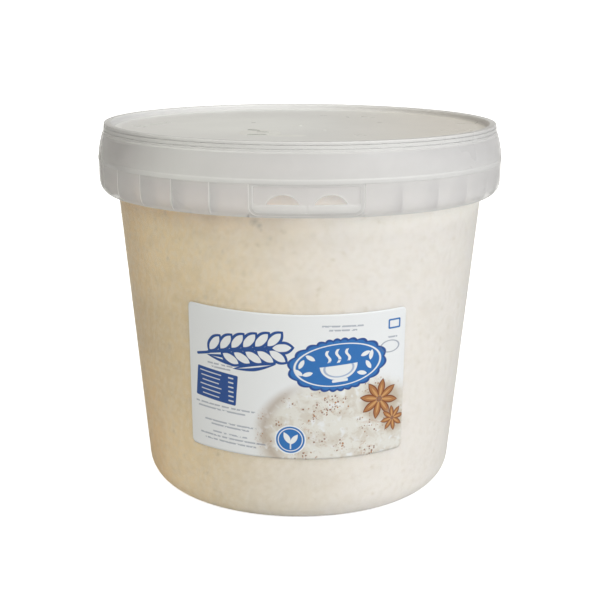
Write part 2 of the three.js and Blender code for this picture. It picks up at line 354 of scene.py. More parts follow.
# ---- Shader helpers -------------------------------------------------------------------------------
class Value:
    """A number from a shader tree that can stand in a formula: each operation adds a math node."""

    def __init__(self, net, socket):
        self.net, self.socket = net, socket

    def __add__(self, other):
        return self.net.math("ADD", self, other)

    def __sub__(self, other):
        return self.net.math("SUBTRACT", self, other)

    def __rsub__(self, other):
        return self.net.math("SUBTRACT", other, self)

    def __mul__(self, other):
        return self.net.math("MULTIPLY", self, other)

    def __truediv__(self, other):
        return self.net.math("DIVIDE", self, other)

    def __rtruediv__(self, other):
        return self.net.math("DIVIDE", other, self)

    def __pow__(self, power):
        return self.net.math("POWER", self, power)

    def __abs__(self):
        return self.net.math("ABSOLUTE", self)

    __radd__, __rmul__ = __add__, __mul__


def hypotenuse(a, b):
    """sqrt(a^2 + b^2)"""
    return a.net.math("SQRT", a * a + b * b)


class Net:
    """Adds nodes to one tree: what comes from a node is linked, and anything else is set."""

    def __init__(self, tree):
        self.tree = tree

    def put(self, socket, value):
        if isinstance(value, Value):
            value = value.socket
        if isinstance(value, bpy.types.NodeSocket):
            self.tree.links.new(value, socket)
        elif value is not None:
            socket.default_value = value

    def fill(self, node, inputs):
        for key, value in inputs.items():
            self.put(node.inputs[key], value)

    def add(self, kind, inputs=(), **settings):
        node = self.tree.nodes.new("ShaderNode" + kind)
        for key, value in settings.items():
            setattr(node, key, value)
        self.fill(node, dict(inputs))
        return node

    def math(self, operation, *values, clamp=False):
        node = self.add("Math", operation=operation, use_clamp=clamp)
        for socket, value in zip(node.inputs, values):
            self.put(socket, value)
        return Value(self, node.outputs[0])

    def most(self, values):
        """The greatest of several values."""
        return reduce(lambda a, b: self.math("MAXIMUM", a, b), values)

    def vector(self, operation, *values, **named):
        """Vector arithmetic. Distances and dot products come as numbers."""
        node = self.add("VectorMath", operation=operation, inputs=named)
        for socket, value in zip(node.inputs, values):
            self.put(socket, value)
        if operation in ("DISTANCE", "DOT_PRODUCT"):
            return Value(self, node.outputs["Value"])
        return node.outputs["Vector"]

    def ramp(self, value, low, high, to_low=0.0, to_high=1.0):
        """A smooth step from to_low at low to to_high at high."""
        node = self.add("MapRange", interpolation_type="SMOOTHSTEP", inputs={
            "Value": value, "From Min": low, "From Max": high, "To Min": to_low, "To Max": to_high,
        })
        return Value(self, node.outputs["Result"])

    def mix(self, factor, a, b, **settings):
        node = self.add("Mix", data_type="RGBA", **settings)
        self.put(node.inputs["Factor"], factor)
        for socket, colour in ((node.inputs[6], a), (node.inputs[7], b)):
            self.put(socket, (*colour, 1.0) if isinstance(colour, tuple) else colour)
        return node.outputs[2]

    def parts(self, value, kind="XYZ"):
        """The three numbers of a vector, or of a colour."""
        node = self.add("Separate" + kind)
        self.put(node.inputs[0], value)
        return [Value(self, socket) for socket in node.outputs]

    def noise(self, place, scale, detail, **more):
        inputs = {"Vector": place, "Scale": scale, "Detail": detail, **more}
        return Value(self, self.add("TexNoise", inputs).outputs["Fac"])

    def bump(self, height, strength, distance):
        inputs = {"Height": height, "Strength": strength, "Distance": distance}
        return self.add("Bump", inputs).outputs["Normal"]

    def group(self, tree, **inputs):
        """The results of a node group. In the name of an input, _ stands for a space."""
        node = self.add("Group", node_tree=tree)
        self.fill(node, {key.replace("_", " "): value for key, value in inputs.items()})
        return [Value(self, socket) for socket in node.outputs]


def new_group(name, inputs, *outputs):
    """An empty shader group that takes a Vector and the given inputs, which are vectors where their
    default is a tuple and numbers elsewhere, and returns numbers."""
    tree = bpy.data.node_groups.new(name, "ShaderNodeTree")
    for label, default in {"Vector": (0, 0, 0), **inputs}.items():
        kind = "NodeSocketVector" if isinstance(default, tuple) else "NodeSocketFloat"
        tree.interface.new_socket(label, in_out="INPUT", socket_type=kind).default_value = default
    for label in outputs:
        tree.interface.new_socket(label, in_out="OUTPUT", socket_type="NodeSocketFloat")
    net = Net(tree)
    given = {socket.name: Value(net, socket) for socket in tree.nodes.new("NodeGroupInput").outputs}
    return tree, net, given, tree.nodes.new("NodeGroupOutput").inputs


def new_material(name):
    material = bpy.data.materials.new(name)
    material.use_nodes = True
    return material, Net(material.node_tree), material.node_tree.nodes["Principled BSDF"]


def tinted(colour, by):
    """A colour times a number, or times another colour."""
    return tuple(np.multiply(colour, by).tolist())


WHITE = (1.0, 1.0, 1.0)


def cloudiness_group():
    """Clouds and flow marks of moulded plastic, and its faint orange-peel height."""
    name = "moulded cloudiness"
    if name in bpy.data.node_groups:
        return bpy.data.node_groups[name]
    sizes = {"Cloud Scale": 28.0, "Peel Scale": 900.0}
    tree, net, given, made = new_group(name, sizes, "Cloud", "Height")
    cloud = net.noise(given["Vector"], given["Cloud Scale"], 3.0, Distortion=0.6)
    net.put(made["Cloud"], net.ramp(cloud, 0.3, 0.7))
    net.put(made["Height"], net.noise(given["Vector"], given["Peel Scale"], 1.0))
    return tree


def rib_group():
    """Where a rib backs the collar: its angle from the tab, counted in ribs, is near a whole number.
    Mask = 1 within half a rib's thickness of the nearest rib, between the collar's foot and flange, and
    fainter in the front right quarter, where the key light falls: painted light that washes the rib lines
    out."""
    tree, net, given, made = new_group("ribs behind the collar", {"Half Width": 0.42 * MM}, "Mask")
    x, y, z = net.parts(given["Vector"])
    angle = net.math("ARCTAN2", x, y * -1.0)
    from_tab = net.math("FLOORED_MODULO", angle - TAB_CENTRE, 2 * math.pi)
    count = (from_tab - RIB_FREE_ARC) / RIB_STEP
    nearest = net.math("MINIMUM", net.math("MAXIMUM", net.math("ROUND", count), 0.0), RIB_COUNT - 1.0)
    distance = abs(count - nearest) * (RIB_STEP * COLLAR_RADIUS)
    upright = net.ramp(distance / given["Half Width"], 0.6, 1.4, 1.0, 0.0)
    above = net.ramp(z, COLLAR_FOOT + 0.4 * MM, COLLAR_FOOT + 0.9 * MM)
    below = net.ramp(z, FLANGE_UNDERSIDE, FLANGE_UNDERSIDE + 0.4 * MM, 1.0, 0.0)
    facing = (x * math.sin(LIT_ARC) - y * math.cos(LIT_ARC)) / hypotenuse(x, y)
    strength = net.ramp(facing, LIT_FROM, LIT_TO, 1.0, 0.12)
    net.put(made["Mask"], upright * above * below * strength)
    return tree


def plastic(name, colours, alpha, wet_alpha=None, ribs=0.0, streaks=0.0):
    """Milky plastic. It is whiter and denser where its `thick` attribute is high or a rib backs it,
    and clearer on the wall that the pudding wets from inside, when wet_alpha is given. Streaks are
    flow rings round the lid's axis, of the given contrast; they come with a warmer right and a milky
    cloud left of the panel's middle."""
    material, net, shader = new_material(name)
    place = net.add("TexCoord").outputs["Object"]
    x, y, z = net.parts(place)
    radius = hypotenuse(x, y)
    cloud, peel = net.group(cloudiness_group(), Vector=place)
    thick = Value(net, net.add("Attribute", attribute_name="thick").outputs["Fac"])
    tint = tuple(colours.plastic)
    pale = tuple(0.4 * c + 0.6 * 0.95 for c in tint)
    cover = cloud * 0.03 + (alpha - 0.015)
    if wet_alpha is not None:
        proud = radius - wall_radius(z)
        backed = net.group(rib_group(), Vector=place)[0] * net.ramp(proud, 4 * MM, 5 * MM)
        thick = net.math("MAXIMUM", thick, backed * ribs)
        off_wall = net.ramp(proud, 0.6 * MM, 1.2 * MM)
        above = net.ramp(z, FLANGE_UNDERSIDE - 2 * MM, FLANGE_UNDERSIDE)
        cover = (cover - wet_alpha) * net.math("MAXIMUM", off_wall, above) + wet_alpha
    base = net.mix(cloud, tinted(tint, 0.98), tint)
    if streaks:
        rings = net.add("CombineXYZ", inputs={"X": radius}).outputs[0]
        rings = net.noise(rings, 420.0, 3.0, Roughness=0.6)
        base = net.mix(net.ramp(rings, 0.35, 0.65, 0.0, streaks), base, WHITE)
    base = net.mix(thick, base, pale)
    if streaks:
        on_panel = net.ramp(radius, 103 * MM, 107 * MM, 1.0, 0.0)
        base = net.mix(net.ramp(x, 0.0, 90 * MM, 0.0, 0.55) * on_panel, base, (0.87, 0.79, 0.71))
        aside = net.vector("DISTANCE", place, (-33 * MM, 5 * MM, PANEL_TOP))
        base = net.mix(net.ramp(aside, 22 * MM, 70 * MM, 0.75, 0.0) * on_panel, base, WHITE)
    net.fill(shader, {
        "Base Color": base, "Alpha": net.math("MULTIPLY_ADD", thick, 0.35, cover, clamp=True),
        "Roughness": cloud * 0.06 + 0.27, "Normal": net.bump(peel, 0.08, 0.2 * MM), "IOR": 1.49,
    })
    return material


def mark_material(name, colour):
    """Solid moulded plastic, faintly clouded, for the marks on the lid's panel."""
    material, net, shader = new_material(name)
    place = net.add("TexCoord").outputs["Object"]
    cloud, peel = net.group(cloudiness_group(), Vector=place, Cloud_Scale=140.0)
    net.fill(shader, {
        "Base Color": net.mix(cloud, tinted(colour, 0.92), colour),
        "Roughness": cloud * 0.08 + 0.3, "Normal": net.bump(peel, 0.08, 0.2 * MM),
    })
    return material


def fleck_group():
    """Soft round flecks, one in each cell of a cell pattern, some strong and most faint. The place is
    shaken by noise first, so that no fleck is a clean disc."""
    sizes = {"Spacing": 8 * MM, "Size": 0.3, "Rarity": 0.5}
    tree, net, given, made = new_group("soft flecks", sizes, "Fleck")
    warp = net.add("TexNoise", {"Vector": given["Vector"], "Scale": 330.0, "Detail": 2.0})
    shaken = net.vector("MULTIPLY_ADD", warp.outputs["Color"], (3 * MM, 3 * MM, 3 * MM), given["Vector"])
    cells = net.add("TexVoronoi", {"Vector": shaken, "Scale": 1.0 / given["Spacing"]}).outputs
    spot = net.ramp(Value(net, cells["Distance"]) / given["Size"], 0.0, 1.0, 1.0, 0.0)
    luck = net.parts(cells["Color"], "Color")[0]
    chance = net.math("DIVIDE", luck - given["Rarity"], 1.0 - given["Rarity"], clamp=True)
    net.put(made["Fleck"], spot * chance)
    return tree


def grain_group():
    """Swollen rice grains that touch the wall: the place is turned, then squeezed to a third along
    its first axis, so that the round cells of a cell pattern become grains lying one way."""
    tree, net, given, made = new_group("rice grains", {"Length": 7 * MM, "Turn": (0, 0, 0)}, "Grain")
    rotated = net.add("VectorRotate", rotation_type="EULER_XYZ", inputs={
        "Vector": given["Vector"], "Rotation": given["Turn"],
    })
    squeezed = net.vector("MULTIPLY", rotated.outputs[0], (1 / 3, 1.0, 1.0))
    cells = net.add("TexVoronoi", {"Vector": squeezed, "Scale": 2.2 / given["Length"]}).outputs
    net.put(made["Grain"], net.ramp(cells["Distance"], 0.22, 0.46, 1.0, 0.0))
    return tree


# Grey spots on the wall, most of them just under the collar: those just under the collar and behind the tab
# are painted shadow of the collar and the tab, and the lower ones are darker spots in the cream. Arc in
# degrees, height and size in mm, and how strong.
SPOTS_AND_SHADOWS = (
    (-12.7, 167.7, 4.4, 0.85), (-11.3, 165.7, 3.4, 1.0), (-10.8, 163.7, 2.6, 0.65), (-8.3, 159.3, 3.8, 0.5),
    (-11.9, 169.4, 3.2, 0.5), (-9.4, 161.8, 2.4, 0.4), (-4.3, 163.0, 3.6, 0.28), (3.7, 161.1, 3.4, 0.28),
    (-9.0, 162.0, 20.0, 0.17), (-20.6, 145.6, 3.2, 0.2), (-20.1, 142.0, 3.0, 0.24), (-16.5, 140.4, 3.0, 0.24),
    (-24.6, 142.9, 3.0, 0.16), (-29.4, 125.6, 3.4, 0.3), (-32.7, 123.7, 3.2, 0.2), (-4.6, 178.4, 15.0, 0.34),
)
GRAIN_TURNS = ((0.3, 0.9, 0.2), (1.2, 0.4, 1.5), (2.3, 1.7, 0.8))
# Light that the milky collar scatters on to the wall behind it and below it, at the left and right.
GAP_GLOW = ((0.35, 0.33, 0.33), (0.32, 0.32, 0.30))
UNDER_GLOW = ((0.02, 0.0, 0.0), (0.22, 0.225, 0.205))
SIDE_GLOW = (0.04, 0.027, 0.016)  # light that comes through the cream at the tub's left


def cream_material(sizes, colours):
    """Rice pudding against a plastic wall: cream with cloudy drifts, painted warmth towards the left and
    painted shade, pale grains and small darker flecks just under it, a few grey spots with painted shadow
    under the collar and the tab, the glow of light that the plastic scatters, and the gloss of the wetted
    plastic."""
    material, net, shader = new_material("rice pudding")
    place = net.add("TexCoord").outputs["Object"]
    x, y, z = net.parts(place)
    drift, smudge, mottle = (net.noise(place, scale, 3.0) for scale in (18.0, 85.0, 280.0))
    cream, warm_lit_cream, grain = tuple(colours.cream), tuple(colours.warm_lit_cream), tuple(colours.grain)
    pale = tuple(min(1.0, 1.08 * c) for c in cream)

    # Painted warmth of the light from the left: the cream is warmer towards the left, with some random drift.
    # Painted shade: duller there at mid height, darker at the far left, most of all in a belt round it, and a
    # little darker at the foot than the rest.
    left = x * -1.0 / hypotenuse(x, y)
    drift_and_left_warm_light = net.ramp(drift * 0.6 + left * 0.71, -0.057, 0.943)
    plain = net.mix(drift_and_left_warm_light, cream, warm_lit_cream)
    painted_mid_shade = drift_and_left_warm_light * net.ramp(abs(z - 88 * MM), 15 * MM, 60 * MM, 0.75, 0.0)
    plain = net.mix(painted_mid_shade, plain, tinted(warm_lit_cream, (0.78, 0.77, 0.70)))
    # Painted shade at the far left, darker low down.
    low, high = tinted(warm_lit_cream, (0.97, 0.82, 0.56)), tinted(warm_lit_cream, (0.84, 0.74, 0.52))
    far_left_shade = net.mix(net.ramp(z, 30 * MM, 90 * MM), low, high)
    plain = net.mix(net.ramp(left, 0.76, 0.94), plain, far_left_shade)
    belt_shade = net.ramp(left, 0.6, 0.9) * net.ramp(abs(z - 102 * MM), 8 * MM, 26 * MM, 0.12, 0.0)
    plain = net.mix(belt_shade, plain, (0.05, 0.05, 0.05))
    # Painted shade at the foot, in front and to the left.
    foot = net.ramp(z, 22 * MM, 62 * MM, 1.0, 0.0)
    foot = foot * net.ramp(abs(x + 14 * MM), 14 * MM, 60 * MM, 0.14, 0.0)
    plain = net.mix(foot, plain, (0.0, 0.1, 0.2))

    # Grains, mottle and flecks, all fainter towards the right.
    grain_tree, fleck_tree = grain_group(), fleck_group()
    grains = net.most([
        net.group(grain_tree, Vector=place, Length=sizes.grain_length, Turn=turn)[0]
        for turn in GRAIN_TURNS
    ])
    small = net.group(fleck_tree, Vector=place, Spacing=6 * MM, Size=0.36, Rarity=0.45)[0]
    broad = net.group(fleck_tree, Vector=place, Spacing=14 * MM, Size=0.5, Rarity=0.2)[0]
    base = net.mix(grains * 0.22, plain, pale)
    for amount in (
        net.ramp(mottle, 0.42, 0.72, 0.0, 0.18), net.ramp(smudge, 0.50, 0.72, 0.0, 0.16),
        broad * 0.22, small * 0.60,
    ):
        base = net.mix(amount, base, grain)
    base = net.mix(net.ramp(x, -60 * MM, 25 * MM, 0.85, 0.6), plain, base)

    # Grey spots, and painted shadow just under the collar and behind the tab.
    spots = []
    for arc, height, size, strength in SPOTS_AND_SHADOWS:
        middle = around(wall_radius(height * MM), math.radians(arc), height * MM).tolist()
        ragged = mottle * (3.0 * MM) + net.vector("DISTANCE", place, middle)
        spots.append(net.ramp(ragged, 1.0 * MM, (size + 1.2) * MM, strength, 0.0))
    base = net.mix(net.most(spots) * 0.75, base, tuple(colours.spot_and_shadow_grey))

    to_right = net.ramp(x, -60 * MM, 60 * MM)
    below = net.ramp(z, COLLAR_FOOT - 14 * MM, COLLAR_FOOT - 1 * MM)
    behind = net.ramp(z, COLLAR_FOOT - 1 * MM, COLLAR_FOOT + 5 * MM)
    glow = net.mix(net.ramp(left, 0.5, 0.85), (0.0, 0.0, 0.0), SIDE_GLOW)
    glow = net.mix(below, glow, net.mix(to_right, *UNDER_GLOW))
    glow = net.mix(behind, glow, net.mix(to_right, *GAP_GLOW))
    net.fill(shader, {
        "Base Color": base, "Emission Color": glow, "Emission Strength": 1.0,
        "Roughness": net.ramp(mottle, 0.3, 0.7, 0.45, 0.6),
        "Subsurface Weight": 0.2, "Subsurface Radius": (1.0, 0.8, 0.55), "Subsurface Scale": 3 * MM,
        "Coat Weight": 0.8, "Coat Roughness": 0.34, "Normal": net.bump(mottle, 0.06, 0.3 * MM),
    })
    return material


# ---- Shapes that are printed on the label ---------------------------------------------------------
# Each takes a place (x, y) from the shape's middle, its half width w and half height h and its other
# sizes, and returns how far the place lies outside the shape's edge.
def far_from_box(net, x, y, w, h, given):
    """|max(q, 0)| + min(max(qx, qy), 0) - corner, with q = |p| - half size + corner."""
    corner = given["Corner"]
    qx, qy = abs(x) - w + corner, abs(y) - h + corner
    outside = hypotenuse(net.math("MAXIMUM", qx, 0.0), net.math("MAXIMUM", qy, 0.0))
    return outside + net.math("MINIMUM", net.math("MAXIMUM", qx, qy), 0.0) - corner


def far_from_leaf(net, x, y, w, h, given):
    """|y| - h (1 - |x / w|^blunt): a leaf or a grain, with a blunter end for a higher power."""
    return abs(y) - h * (1.0 - (abs(x) / w) ** given["Blunt"])


def far_from_wave(net, x, y, w, h, given):
    """max(|y - h sin(2 pi x / period)| - thick / 2, |x| - w): a wavy stroke."""
    crest = net.math("SINE", x / given["Period"] * (2 * math.pi)) * h
    return net.math("MAXIMUM", abs(y - crest) - given["Thick"] * 0.5, abs(x) - w)


def far_from_oval(net, x, y, w, h, given):
    """(|(x / w, y / h)| - 1 - lobe |sin(lobes a / 2)|) h, where a is the angle about the middle."""
    bulge = abs(net.math("SINE", net.math("ARCTAN2", y, x) * (given["Lobes"] * 0.5)))
    return (hypotenuse(x / w, y / h) - 1.0 - bulge * given["Lobe"]) * h


def far_from_ring(net, x, y, w, h, given):
    """||(x / w, y / h)| - 1| h - thick / 2"""
    return abs(hypotenuse(x / w, y / h) - 1.0) * h - given["Thick"] * 0.5


def far_from_bowl(net, x, y, w, h, given):
    """max((|(x / w, y / h)| - 1) h, y): the lower half of an oval."""
    return net.math("MAXIMUM", (hypotenuse(x / w, y / h) - 1.0) * h, y)


def far_from_star(net, x, y, w, h, given):
    """Petals round the middle: the angle is folded into one petal's share, and the petal is a leaf
    whose inner end is near the middle and whose outer end is w away."""
    share = 2 * math.pi / given["Petals"]
    folded = net.math("FLOORED_MODULO", net.math("ARCTAN2", y, x), share) - share * 0.5
    reach = hypotenuse(x, y)
    along = (reach * net.math("COSINE", folded) - w * 0.54) / (w * 0.46)
    return abs(reach * net.math("SINE", folded)) - h * (1.0 - abs(along) ** given["Blunt"])


SHAPES = {
    "box": (far_from_box, {"Width": 5.0, "Height": 5.0, "Corner": 0.4}),
    "leaf": (far_from_leaf, {"Width": 9.0, "Height": 4.0, "Blunt": 2.0}),
    "wave": (far_from_wave, {"Width": 9.0, "Height": 2.0, "Period": 6.0, "Thick": 1.0}),
    "oval": (far_from_oval, {"Width": 5.0, "Height": 5.0, "Lobes": 0.0, "Lobe": 0.0}),
    "ring": (far_from_ring, {"Width": 5.0, "Height": 5.0, "Thick": 1.0}),
    "bowl": (far_from_bowl, {"Width": 5.0, "Height": 5.0}),
    "star": (far_from_star, {"Width": 20.0, "Height": 3.0, "Petals": 8.0, "Blunt": 2.0}),
}


def printed_shape(kind):
    """The shader group of one kind of printed shape: 1 inside it and 0 outside, over a soft edge. The
    place is taken about the shape's middle and turned back by its turn."""
    name = "printed " + kind
    if name in bpy.data.node_groups:
        return bpy.data.node_groups[name]
    distance, sizes = SHAPES[kind]
    inputs = {"Middle": (0, 0, 0), "Turn": 0.0, "Soft": 0.3, **sizes}
    tree, net, given, made = new_group(name, inputs, "Mask")
    away = net.vector("SUBTRACT", given["Vector"], given["Middle"])
    upright = net.add("VectorRotate", rotation_type="Z_AXIS", inputs={
        "Vector": away, "Angle": given["Turn"] * -1.0,
    })
    x, y, _ = net.parts(upright.outputs[0])
    far = distance(net, x, y, given["Width"] * 0.5, given["Height"] * 0.5, given)
    net.put(made["Mask"], net.ramp(far / given["Soft"], -0.5, 0.5, 1.0, 0.0))
    return tree


class Print:
    """Stacks inks over the label's white. Places are in mm from the label's lower left corner."""

    def __init__(self, net, white):
        self.net, self.colour = net, white
        corner = net.add("UVMap", uv_map="UVMap").outputs["UV"]
        scale = (LABEL_WIDTH / MM, LABEL_HEIGHT / MM, 1.0)
        self.place = net.add("Mapping", {"Vector": corner, "Scale": scale}).outputs[0]

    def shape(self, kind, x, y, width, height, turn=0.0, soft=0.3, **more):
        return self.net.group(
            printed_shape(kind), Vector=self.place, Middle=(x, y, 0), Turn=math.radians(turn),
            Soft=soft, Width=width, Height=height, **more,
        )[0]

    def ink(self, masks, colour, strength=1.0):
        """Prints one mask, or a list of masks at once."""
        mask = self.net.most(masks) if isinstance(masks, list) else masks
        self.colour = self.net.mix(mask * strength, self.colour, colour)

    def blots(self, scale, low, high, detail=2.0, distortion=0.0):
        """A smooth step of noise between two of its levels. The scale is in blots per mm."""
        return self.net.ramp(self.net.noise(self.place, scale, detail, Distortion=distortion), low, high)


def print_rice_ear(page, inks):
    """A bowed ear of rice: plump white grains in pairs up a deep blue stem, and two leaves."""
    stem = [(9 + 6.4 * k, 53.5 + 1.9 * k - 0.10 * k * k, 15 - 1.8 * k) for k in range(7)]
    page.ink([
        page.shape("leaf", 25, 52.0, 28, 5.4, -4, Blunt=1.6),
        page.shape("leaf", 38, 50.2, 24, 4.6, 12, Blunt=1.6),
        *(page.shape("box", x, y, 8.5, 1.5, turn, Corner=0.7) for x, y, turn in stem),
    ], inks["deep_blue"])
    veins = [page.shape("leaf", 25, 52.0, 21, 1.0, -4), page.shape("leaf", 38, 50.2, 18, 0.8, 12)]
    page.ink(veins, inks["paper"])
    grains = [(52.6, 61.8, 4)]
    for x, y, turn in stem[1:]:
        sin, cos = math.sin(math.radians(turn)), math.cos(math.radians(turn))
        for up, along, lean in ((4.6, 1.6, 42), (-4.4, 2.6, -38)):
            if up > 0 or x > 20:
                grains.append((x - up * sin + along * cos, y + up * cos + along * sin, turn + lean))
    for length, width, ink in ((13.0, 7.2, "deep_blue"), (9.8, 4.2, "paper")):
        ear = [page.shape("leaf", x, y, length, width, turn, Blunt=2.6) for x, y, turn in grains]
        page.ink(ear, inks[ink])


def print_badge(page, inks):
    """A scalloped sky blue badge with a white bowl on it, steam, a thin ring and loose grains."""
    x, y, turn = 82, 52.5, 5
    page.ink(page.shape("oval", x, y, 51, 27.5, turn, Lobes=22.0, Lobe=0.07), inks["deep_blue"])
    page.ink(page.shape("oval", x, y, 48.6, 25.2, turn, Lobes=22.0, Lobe=0.07), inks["sky_blue"])
    page.ink(page.shape("ring", x, y, 46.0, 22.8, turn, Thick=0.55), inks["paper"])
    steam = ((-5.6, 4.6, 6.6), (-0.4, 5.0, 7.4), (4.8, 5.4, 6.6))
    page.ink([
        page.shape("bowl", x, y - 0.2, 20, 16, turn),
        page.shape("box", x + 0.7, y - 8.6, 8.4, 1.5, turn, Corner=0.5),
        *(page.shape("wave", x + u, y + v, length, 1.5, 90 + turn, Period=6.6, Thick=1.5)
          for u, v, length in steam),
    ], inks["paper"])
    page.ink(page.shape("ring", x + 0.1, y - 1.8, 15.4, 9.4, turn, Thick=0.7), inks["sky_blue"], 0.55)
    loose = (
        (62.6, 53.2, 62), (65.8, 47.8, 15), (67.2, 56.6, -30), (98.2, 51.4, -58),
        (96.4, 57.6, 22), (99.6, 56.6, 80), (94.6, 47.2, -12), (61.0, 48.6, -35),
    )
    page.ink([page.shape("leaf", u, v, 5.6, 2.3, t, Blunt=2.6) for u, v, t in loose], inks["paper"])


def print_table(page, inks):
    """A plain table: a deep blue field ruled with pale lines."""
    x, y, turn = 16.5, 36.5, -5.0
    page.ink(page.shape("box", x, y, 24.0, 17.0, turn, Corner=0.8), inks["deep_blue"])
    rows = []
    for row in range(6):
        level = y + 6.4 - 2.55 * row
        rows.append(page.shape("box", x - 3.4, level + 0.3, 13.0 - 1.4 * (row % 3), 0.6, turn, Corner=0.2))
        rows.append(page.shape("box", x + 8.6, level - 0.75, 3.0, 0.8, turn, Corner=0.3))
    page.ink(rows, inks["paper"], 0.8)


def print_rules(page, inks):
    """Thin broken rules in the places of small print, an empty box and an empty oval stamp."""
    slate = (0.10, 0.13, 0.26)
    rules = (
        (19, 48.6, 15), (19, 46.7, 12), (21, 25.2, 35), (19, 23.0, 28), (24, 16.0, 30), (24, 14.0, 22),
        (24, 9.9, 20), (25, 7.6, 38), (24, 5.3, 30), (84, 73.4, 22), (84, 71.2, 15), (112, 64.6, 6),
    )
    lines = [page.shape("box", x, y, width, 0.85, -1.5, 0.5, Corner=0.3) for x, y, width in rules]
    page.ink(page.net.most(lines) * page.blots(0.55, 0.36, 0.44, 1.0), slate, 0.55)
    page.ink(page.shape("box", 113, 71.8, 7.4, 5.4, Corner=0.8), inks["sky_blue"])
    page.ink(page.shape("box", 113, 71.8, 5.6, 3.6, Corner=0.4), inks["paper"])
    page.ink(page.shape("ring", 110.6, 59.6, 11.0, 6.4, Thick=0.55), slate, 0.6)


def print_seal(page, inks):
    """A round sky blue seal: a white ring and two white leaves in it."""
    x, y = 57, 11
    page.ink(page.shape("oval", x, y, 16.4, 16.4), inks["paper"])
    page.ink(page.shape("oval", x, y, 15.0, 15.0), inks["sky_blue"])
    page.ink([
        page.shape("ring", x, y, 12.6, 12.6, Thick=0.5),
        page.shape("leaf", x - 1.7, y + 0.9, 7.4, 2.9, 118),
        page.shape("leaf", x + 1.9, y + 0.2, 7.0, 2.7, 56),
        page.shape("box", x + 0.1, y - 3.6, 0.7, 3.4, Corner=0.3),
    ], inks["paper"])


def print_dessert(page, inks):
    """A bowl of cream seen close by, with grated spice on it and two star-shaped spices at its end."""
    net, paper, biscuit, spice = page.net, inks["paper"], inks["biscuit"], inks["spice"]
    cream, shade, rim, gold = (0.76, 0.735, 0.70), (0.50, 0.40, 0.31), (0.36, 0.25, 0.18), (0.66, 0.36, 0.14)
    field = page.shape("oval", 86, 13, 92, 62, 4, 9.0)
    page.ink(field, cream, 0.85)
    inner = page.shape("ring", 90, 17, 94, 60, 2, 5.0, Thick=3.4)
    page.ink(inner * net.ramp(net.parts(page.place)[0], 50.0, 66.0, 1.0, 0.0), rim, 0.62)
    page.ink(page.blots(0.13, 0.46, 0.66, 3.0, 0.8) * field, shade, 0.34)
    page.ink(page.blots(0.21, 0.55, 0.72, 2.0, 0.4) * field, paper, 0.8)
    page.ink(page.blots(0.34, 0.56, 0.72, 2.0, 0.3) * field, shade, 0.30)
    cells = net.add("TexVoronoi", {"Vector": page.place, "Scale": 0.72}).outputs
    luck = net.parts(cells["Color"], "Color")
    spread = page.blots(0.085, 0.50, 0.60, 2.0, 0.3) * field
    crumbs = net.ramp(luck[0] * -0.44 + Value(net, cells["Distance"]), -0.08, 0.08, 1.0, 0.0) * spread
    page.ink(page.blots(0.5, 0.52, 0.72) * spread, biscuit, 0.35)
    page.ink(crumbs, spice, 0.85)
    page.ink(crumbs * net.math("GREATER_THAN", luck[1], 0.62), biscuit, 0.9)
    for x, y, size, turn in ((105, 31, 23, 12), (113.5, 18.5, 15, 30)):
        page.ink(page.shape("oval", x + 1, y - 1.2, size, size * 0.9, 0, 5.0), shade, 0.75)
        for width, height, ink, strength in (
            (1.0, 0.19, spice, 1.0), (0.95, 0.125, biscuit, 0.85), (0.72, 0.05, gold, 0.8)
        ):
            page.ink(page.shape("star", x, y, size * width, size * height, turn), ink, strength)
        page.ink(page.shape("oval", x, y, size * 0.14, size * 0.14), spice, 0.8)


def label_material(colours):
    """White film with blue fields, a plain table, rules, a seal and a drift of spiced cream."""
    material, net, shader = new_material("printed label")
    names = ("paper", "deep_blue", "sky_blue", "spice", "biscuit")
    inks = {name: tuple(getattr(colours, name)) for name in names}
    page = Print(net, inks["paper"])
    for draw in (print_dessert, print_rice_ear, print_badge, print_table, print_rules, print_seal):
        draw(page, inks)
    fibre = net.noise(page.place, 3.0, 2.0)
    tone = net.ramp(fibre, 0.2, 0.8, 0.96, 1.0)
    grey = net.add("CombineColor", {"Red": tone, "Green": tone, "Blue": tone}).outputs[0]
    net.fill(shader, {
        "Base Color": net.mix(1.0, page.colour, grey, blend_type="MULTIPLY"),
        "Roughness": net.ramp(fibre, 0.2, 0.8, 0.30, 0.40), "Normal": net.bump(fibre, 0.05, 0.1 * MM),
    })
    return material


def floor_material():
    """Pale seamless paper with a faint tooth, white to the eye."""
    material, net, shader = new_material("pale paper floor")
    place = net.add("TexCoord").outputs["Object"]
    tooth = net.ramp(net.noise(place, 60.0, 3.0), 0.3, 0.7)
    net.fill(shader, {
        "Base Color": net.mix(tooth, (0.82, 0.82, 0.82), (0.86, 0.86, 0.86)), "Roughness": 0.8,
        "Emission Color": (1, 1, 1, 1),
        "Emission Strength": net.add("LightPath").outputs["Is Camera Ray"],
    })
    return material


# ---- Tub ------------------------------------------------------------------------------------------
UNDER_WINDOW = 8  # rows of the collar's faces that pass under the tab's window
SILL = TAB_LOW.z - FIT - 0.4 * MM  # up to here these rows are level all round
WINDOW_EDGE = 0.4 * MM  # width of the bright edge round the window
PALE_FROM = 181 * MM  # the collar is painted paler from here up to its flange: painted light that lifts the shade under the lid's foot


def window_low(s):
    """Lower edge of the tab's window: level, with quarter circles at its ends."""
    half, corner = TAB_HALF_WIDTH + FIT, TAB_CORNER + FIT
    over = np.clip(np.abs(s) - (half - corner), 0, corner)
    return TAB_LOW.z - FIT + corner - np.sqrt(corner**2 - over**2)


